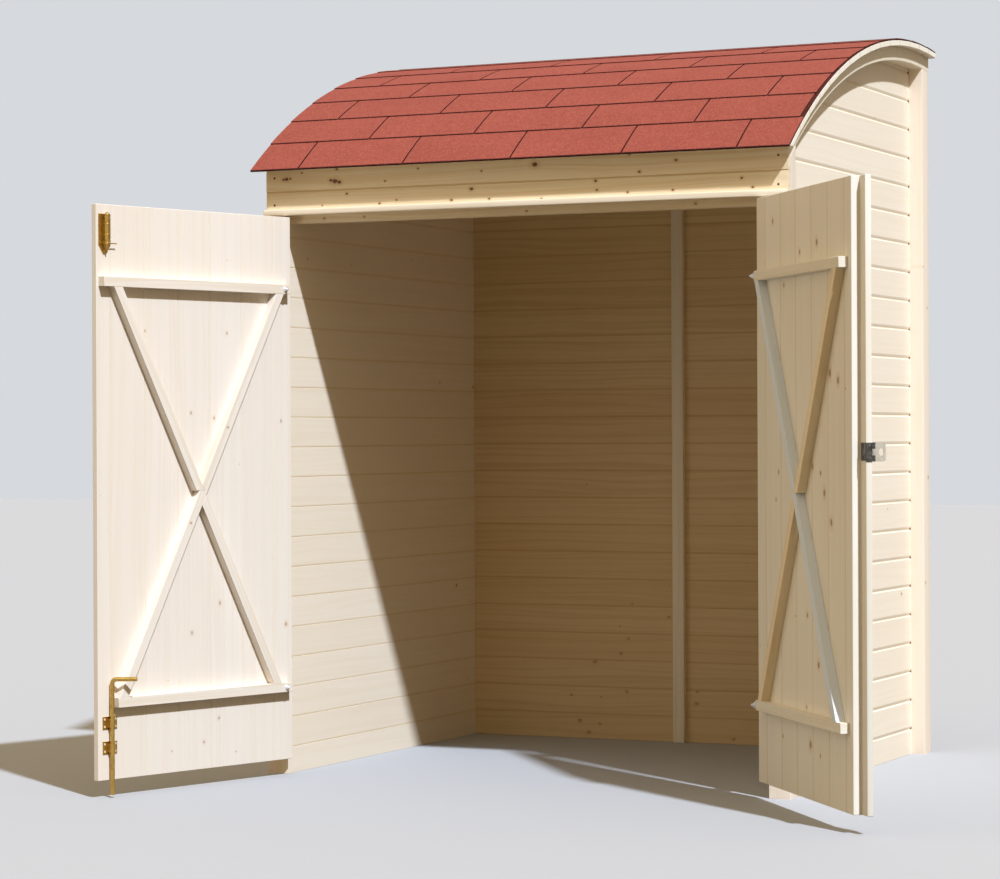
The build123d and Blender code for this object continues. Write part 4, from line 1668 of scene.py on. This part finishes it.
@dataclass
class Hasp(Assembly):
    """The hasp on the cover strip, the cover strip itself and the staple on the left leaf."""

    strip_start: float = 0.701
    strip_end: float = 0.766
    strip_face: float = -0.015
    rebate: float = 0.005
    level: float = 0.930
    edge: float = 0.768
    screw_n: float = -0.008
    plate_reach: tuple[float, float] = (0.735, 0.7655)
    plate_rises: tuple[float, float] = (-0.021, 0.023)
    plate_gauge: float = 0.0012
    strip_arris: float = 0.002
    plate_screws: tuple[float, float, float] = (-0.012, 0.014, 0.003)  # how far they rise, and their radius
    edge_screws: tuple[float, float, float] = (-0.015, 0.015, 0.0028)

    def build(self, leaf: Leaf) -> None:
        """Builds the cover strip and dresses the hasp.

        Args:
            leaf: The right leaf.
        """
        inner = leaf.outer_face - self.rebate
        strip = leaf.block((self.strip_start, leaf.free_edge), (self.strip_face, leaf.outer_face),
                           (leaf.bottom, leaf.top)).cut(plane(Y, inner))
        edge_x = leaf.across(leaf.free_edge)
        strip.extrude(lambda f: abs(f.x - edge_x) < TOUCH and f.y < inner,
                      (leaf.across(self.strip_end - leaf.free_edge), 0, 0))
        strip.ease(self.strip_arris, 3).place(leaf.hung())
        self.finish(strip, "cover_strip", leaf.wood("spruce_cover_strip", 71.0, knot_spacing=0.7), Slot.TIMBER,
                    "astragal", body=leaf.body)
        face = inner + self.plate_gauge
        plate = leaf.block(self.plate_reach, (inner, face), [self.level + rise for rise in self.plate_rises])
        plate.ease(0.0004, 1)
        middle = leaf.across(sum(self.plate_reach) / 2)
        *rises, radius = self.plate_screws
        heads = [screw_head((middle, face, self.level + rise), (0, 1, 0), radius) for rise in rises]
        steel, dark_steel = self.finishes.steel, self.finishes.dark_steel
        self.finish(Piece.joined([plate, *heads]).place(leaf.hung()), "hasp_inner_plate", dark_steel, Slot.STEEL,
                    body=leaf.body)
        self.finishes.dress(dark_steel, "hasp_base")
        self.finishes.dress(steel, "hasp_strap", "hasp_staple")
        *rises, radius = self.edge_screws
        screws = [screw_head((leaf.across(self.edge), self.screw_n, self.level + rise), (-leaf.side, 0, 0), radius)
                  for rise in rises]
        self.finish(Piece.joined(screws).place(leaf.hung()), "hasp_screws", dark_steel, Slot.STEEL, body=leaf.body)


@dataclass
class Studio:
    """The floor, the light and the camera at the photograph's place."""

    focal: float = 106.757
    sensor: float = 36.0
    yaw: float = 25.1788
    pitch: float = -0.1067
    roll: float = -0.2549
    eye: Point = (3.4615, -8.7521, 0.9778)
    far: float = 200.0
    towards_sun: Point = (1.34, -1.0, 1.9)
    sun_strength: float = 4.4
    sun_colour: Colour = (0.85, 0.925, 1.03)
    sun_angle: float = 2.0
    front_way: Point = (-0.9, -0.42, 0.0)
    front_strength: float = 0.8
    front_colour: Colour = (1.0, 0.80, 0.50)
    front_angle: float = 40.0
    fill: float = 0.64
    fill_colour: Colour = (1.0, 0.77, 0.47)
    low_sky: float = 0.28
    backdrop: Colour = tint((214, 217, 221))
    floor_colour: Colour = tint((180, 183, 189))
    floor_shade: Colour = (0.09, 0.068, 0.038)
    floor_size: float = 60.0

    def build(self) -> None:
        """Builds the studio."""
        self._camera()
        self._floor()
        self._light()

    @staticmethod
    def _hold(name: str, data: bpy.types.ID) -> bpy.types.Object:
        """Puts a lamp or a camera into the scene.

        Args:
            name: Its name.
            data: The lamp or the camera.

        Returns:
            Its object.
        """
        holder = bpy.data.objects.new(name, data)
        bpy.context.scene.collection.objects.link(holder)
        return holder

    def _camera(self) -> None:
        """Places the camera."""
        yaw, pitch, roll = (math.radians(a) for a in (self.yaw, self.pitch, self.roll))
        ahead = Vector((-math.sin(yaw) * math.cos(pitch), math.cos(yaw) * math.cos(pitch), math.sin(pitch)))
        level = Vector((math.cos(yaw), math.sin(yaw), 0))
        upward = level.cross(ahead)
        right = level * math.cos(roll) + upward * math.sin(roll)
        up = upward * math.cos(roll) - level * math.sin(roll)
        data = bpy.data.cameras.new("photo_camera")
        data.sensor_fit = "HORIZONTAL"
        data.sensor_width = self.sensor
        data.lens = self.focal
        data.clip_end = self.far
        camera = self._hold("photo_camera", data)
        camera.matrix_world = Matrix.Translation(self.eye) @ Matrix((right, up, -ahead)).transposed().to_4x4()
        bpy.context.scene.camera = camera

    @staticmethod
    def _seen(g: Graph) -> Socket:
        """Tells what the camera sees, straight or in a reflection, from the rest.

        Args:
            g: The graph.

        Returns:
            1 for what it sees.
        """
        rays = g.add("LightPath").outputs
        mirrored = g.math("MAXIMUM", rays["Is Glossy Ray"], rays["Is Transmission Ray"])
        return g.math("MAXIMUM", rays["Is Camera Ray"], mirrored)

    def _floor(self) -> None:
        """Lays the plain floor, which looks pale and gives back little light."""
        bpy.ops.object.select_all(action="DESELECT")
        bpy.ops.mesh.primitive_plane_add(size=self.floor_size, location=(0, 0, 0))
        floor = bpy.context.object
        floor.name = "studio_floor"
        floor.data.materials.append(new_material("studio_floor", lambda g: {
            "Base Color": g.blend(self._seen(g), self.floor_shade, self.floor_colour), "Roughness": 0.9,
            "Specular IOR Level": 0.1}))

    def _lamp(self, name: str, way: Point, strength: float, colour: Colour, angle: float) -> None:
        """Adds a far lamp.

        Args:
            name: Its name.
            way: The direction towards it.
            strength: Its strength.
            colour: Its colour.
            angle: Its apparent size in degrees.
        """
        lamp = bpy.data.lights.new(name, "SUN")
        lamp.energy = strength
        lamp.angle = math.radians(angle)
        lamp.color = colour
        self._hold(name, lamp).rotation_euler = Vector(way).to_track_quat("Z", "Y").to_euler()

    def _light(self) -> None:
        """Sets the lamps and the even light from all round."""
        self._lamp("key_light", self.towards_sun, self.sun_strength, self.sun_colour, self.sun_angle)
        self._lamp("front_light", self.front_way, self.front_strength, self.front_colour, self.front_angle)
        world = bpy.data.worlds.new("studio")
        bpy.context.scene.world = world
        world.use_nodes = True
        world.node_tree.nodes.clear()
        g = Graph(world.node_tree)
        height = g.parts(g.add("TexCoord").outputs["Object"])["Z"]
        strength = g.times(g.plus(self.low_sky, g.rise(height, 0.0, 0.9, "LINEAR")), self.fill)
        soft = g.add("Background", {"Color": self.fill_colour, "Strength": strength})
        back = g.add("Background", {"Color": self.backdrop, "Strength": 1.0})
        both = g.add("MixShader", {0: self._seen(g), 1: soft.outputs[0], 2: back.outputs[0]})
        g.add("OutputWorld", {"Surface": both.outputs[0]})
        bpy.context.scene.view_settings.view_transform = "Standard"


def main() -> None:
    """Builds the whole shelter in order."""
    logging.basicConfig(level=logging.INFO, format="%(message)s")
    Studio().build()
    finishes = Finishes()
    for assembly in (Walls, Frame, Roof):
        assembly(finishes).build()
    left = Leaf(finishes, -1, "left", Body.LEFT_DOOR, 106.5, (0.0225, 0.723), (0.0225, 0.678), 61.0, (
        (0.252, 1.265, 0.005), (0.147, 1.191, 0.004), (0.389, 1.040, 0.005), (0.302, 1.026, 0.005),
        (0.042, 1.018, 0.005), (0.557, 1.264, 0.004), (0.511, 0.528, 0.006), (0.283, 0.507, 0.006),
        (0.389, 0.429, 0.006), (0.026, 0.435, 0.007), (0.289, 0.185, 0.005), (0.346, 0.122, 0.005)))
    right = Leaf(finishes, 1, "right", Body.RIGHT_DOOR, 128.5, (0.0475, 0.706), (0.0475, 0.706), 66.0, (
        (0.136, 1.533, 0.008), (0.480, 1.456, 0.010), (0.350, 1.439, 0.007), (0.225, 1.361, 0.006),
        (0.114, 1.156, 0.008), (0.574, 1.125, 0.012), (0.633, 1.106, 0.011), (0.442, 0.893, 0.009),
        (0.503, 0.876, 0.007), (0.177, 0.875, 0.006), (0.530, 0.827, 0.011), (0.580, 0.755, 0.011),
        (0.399, 0.514, 0.007), (0.482, 0.394, 0.010), (0.419, 0.187, 0.012), (0.492, 0.167, 0.006),
        (0.202, 0.188, 0.005), (0.154, 0.803, 0.005), (0.390, 0.280, 0.006)),
        # Painted light: the right leaf stands in shade and gets lighter tones than the sunlit left leaf.
        joint_shade=0.35, knot_shade=0.7, tones=((244, 240, 232), (240, 234, 222), (232, 222, 202)),
        rising_tones=((249, 234, 206), (244, 226, 192), (232, 208, 166)),
        # Painted sheen: pale bluish white on the falling braces.
        falling_sheen_tones=((232, 243, 255), (224, 236, 254), (218, 228, 244)))
    for leaf in (left, right):
        leaf.build()
    for leaf in (left, right):
        Hinges(finishes).build(leaf)
    Bolts(finishes).build(left)
    Hasp(finishes).build(right)


if __name__ == "__main__":
    main()
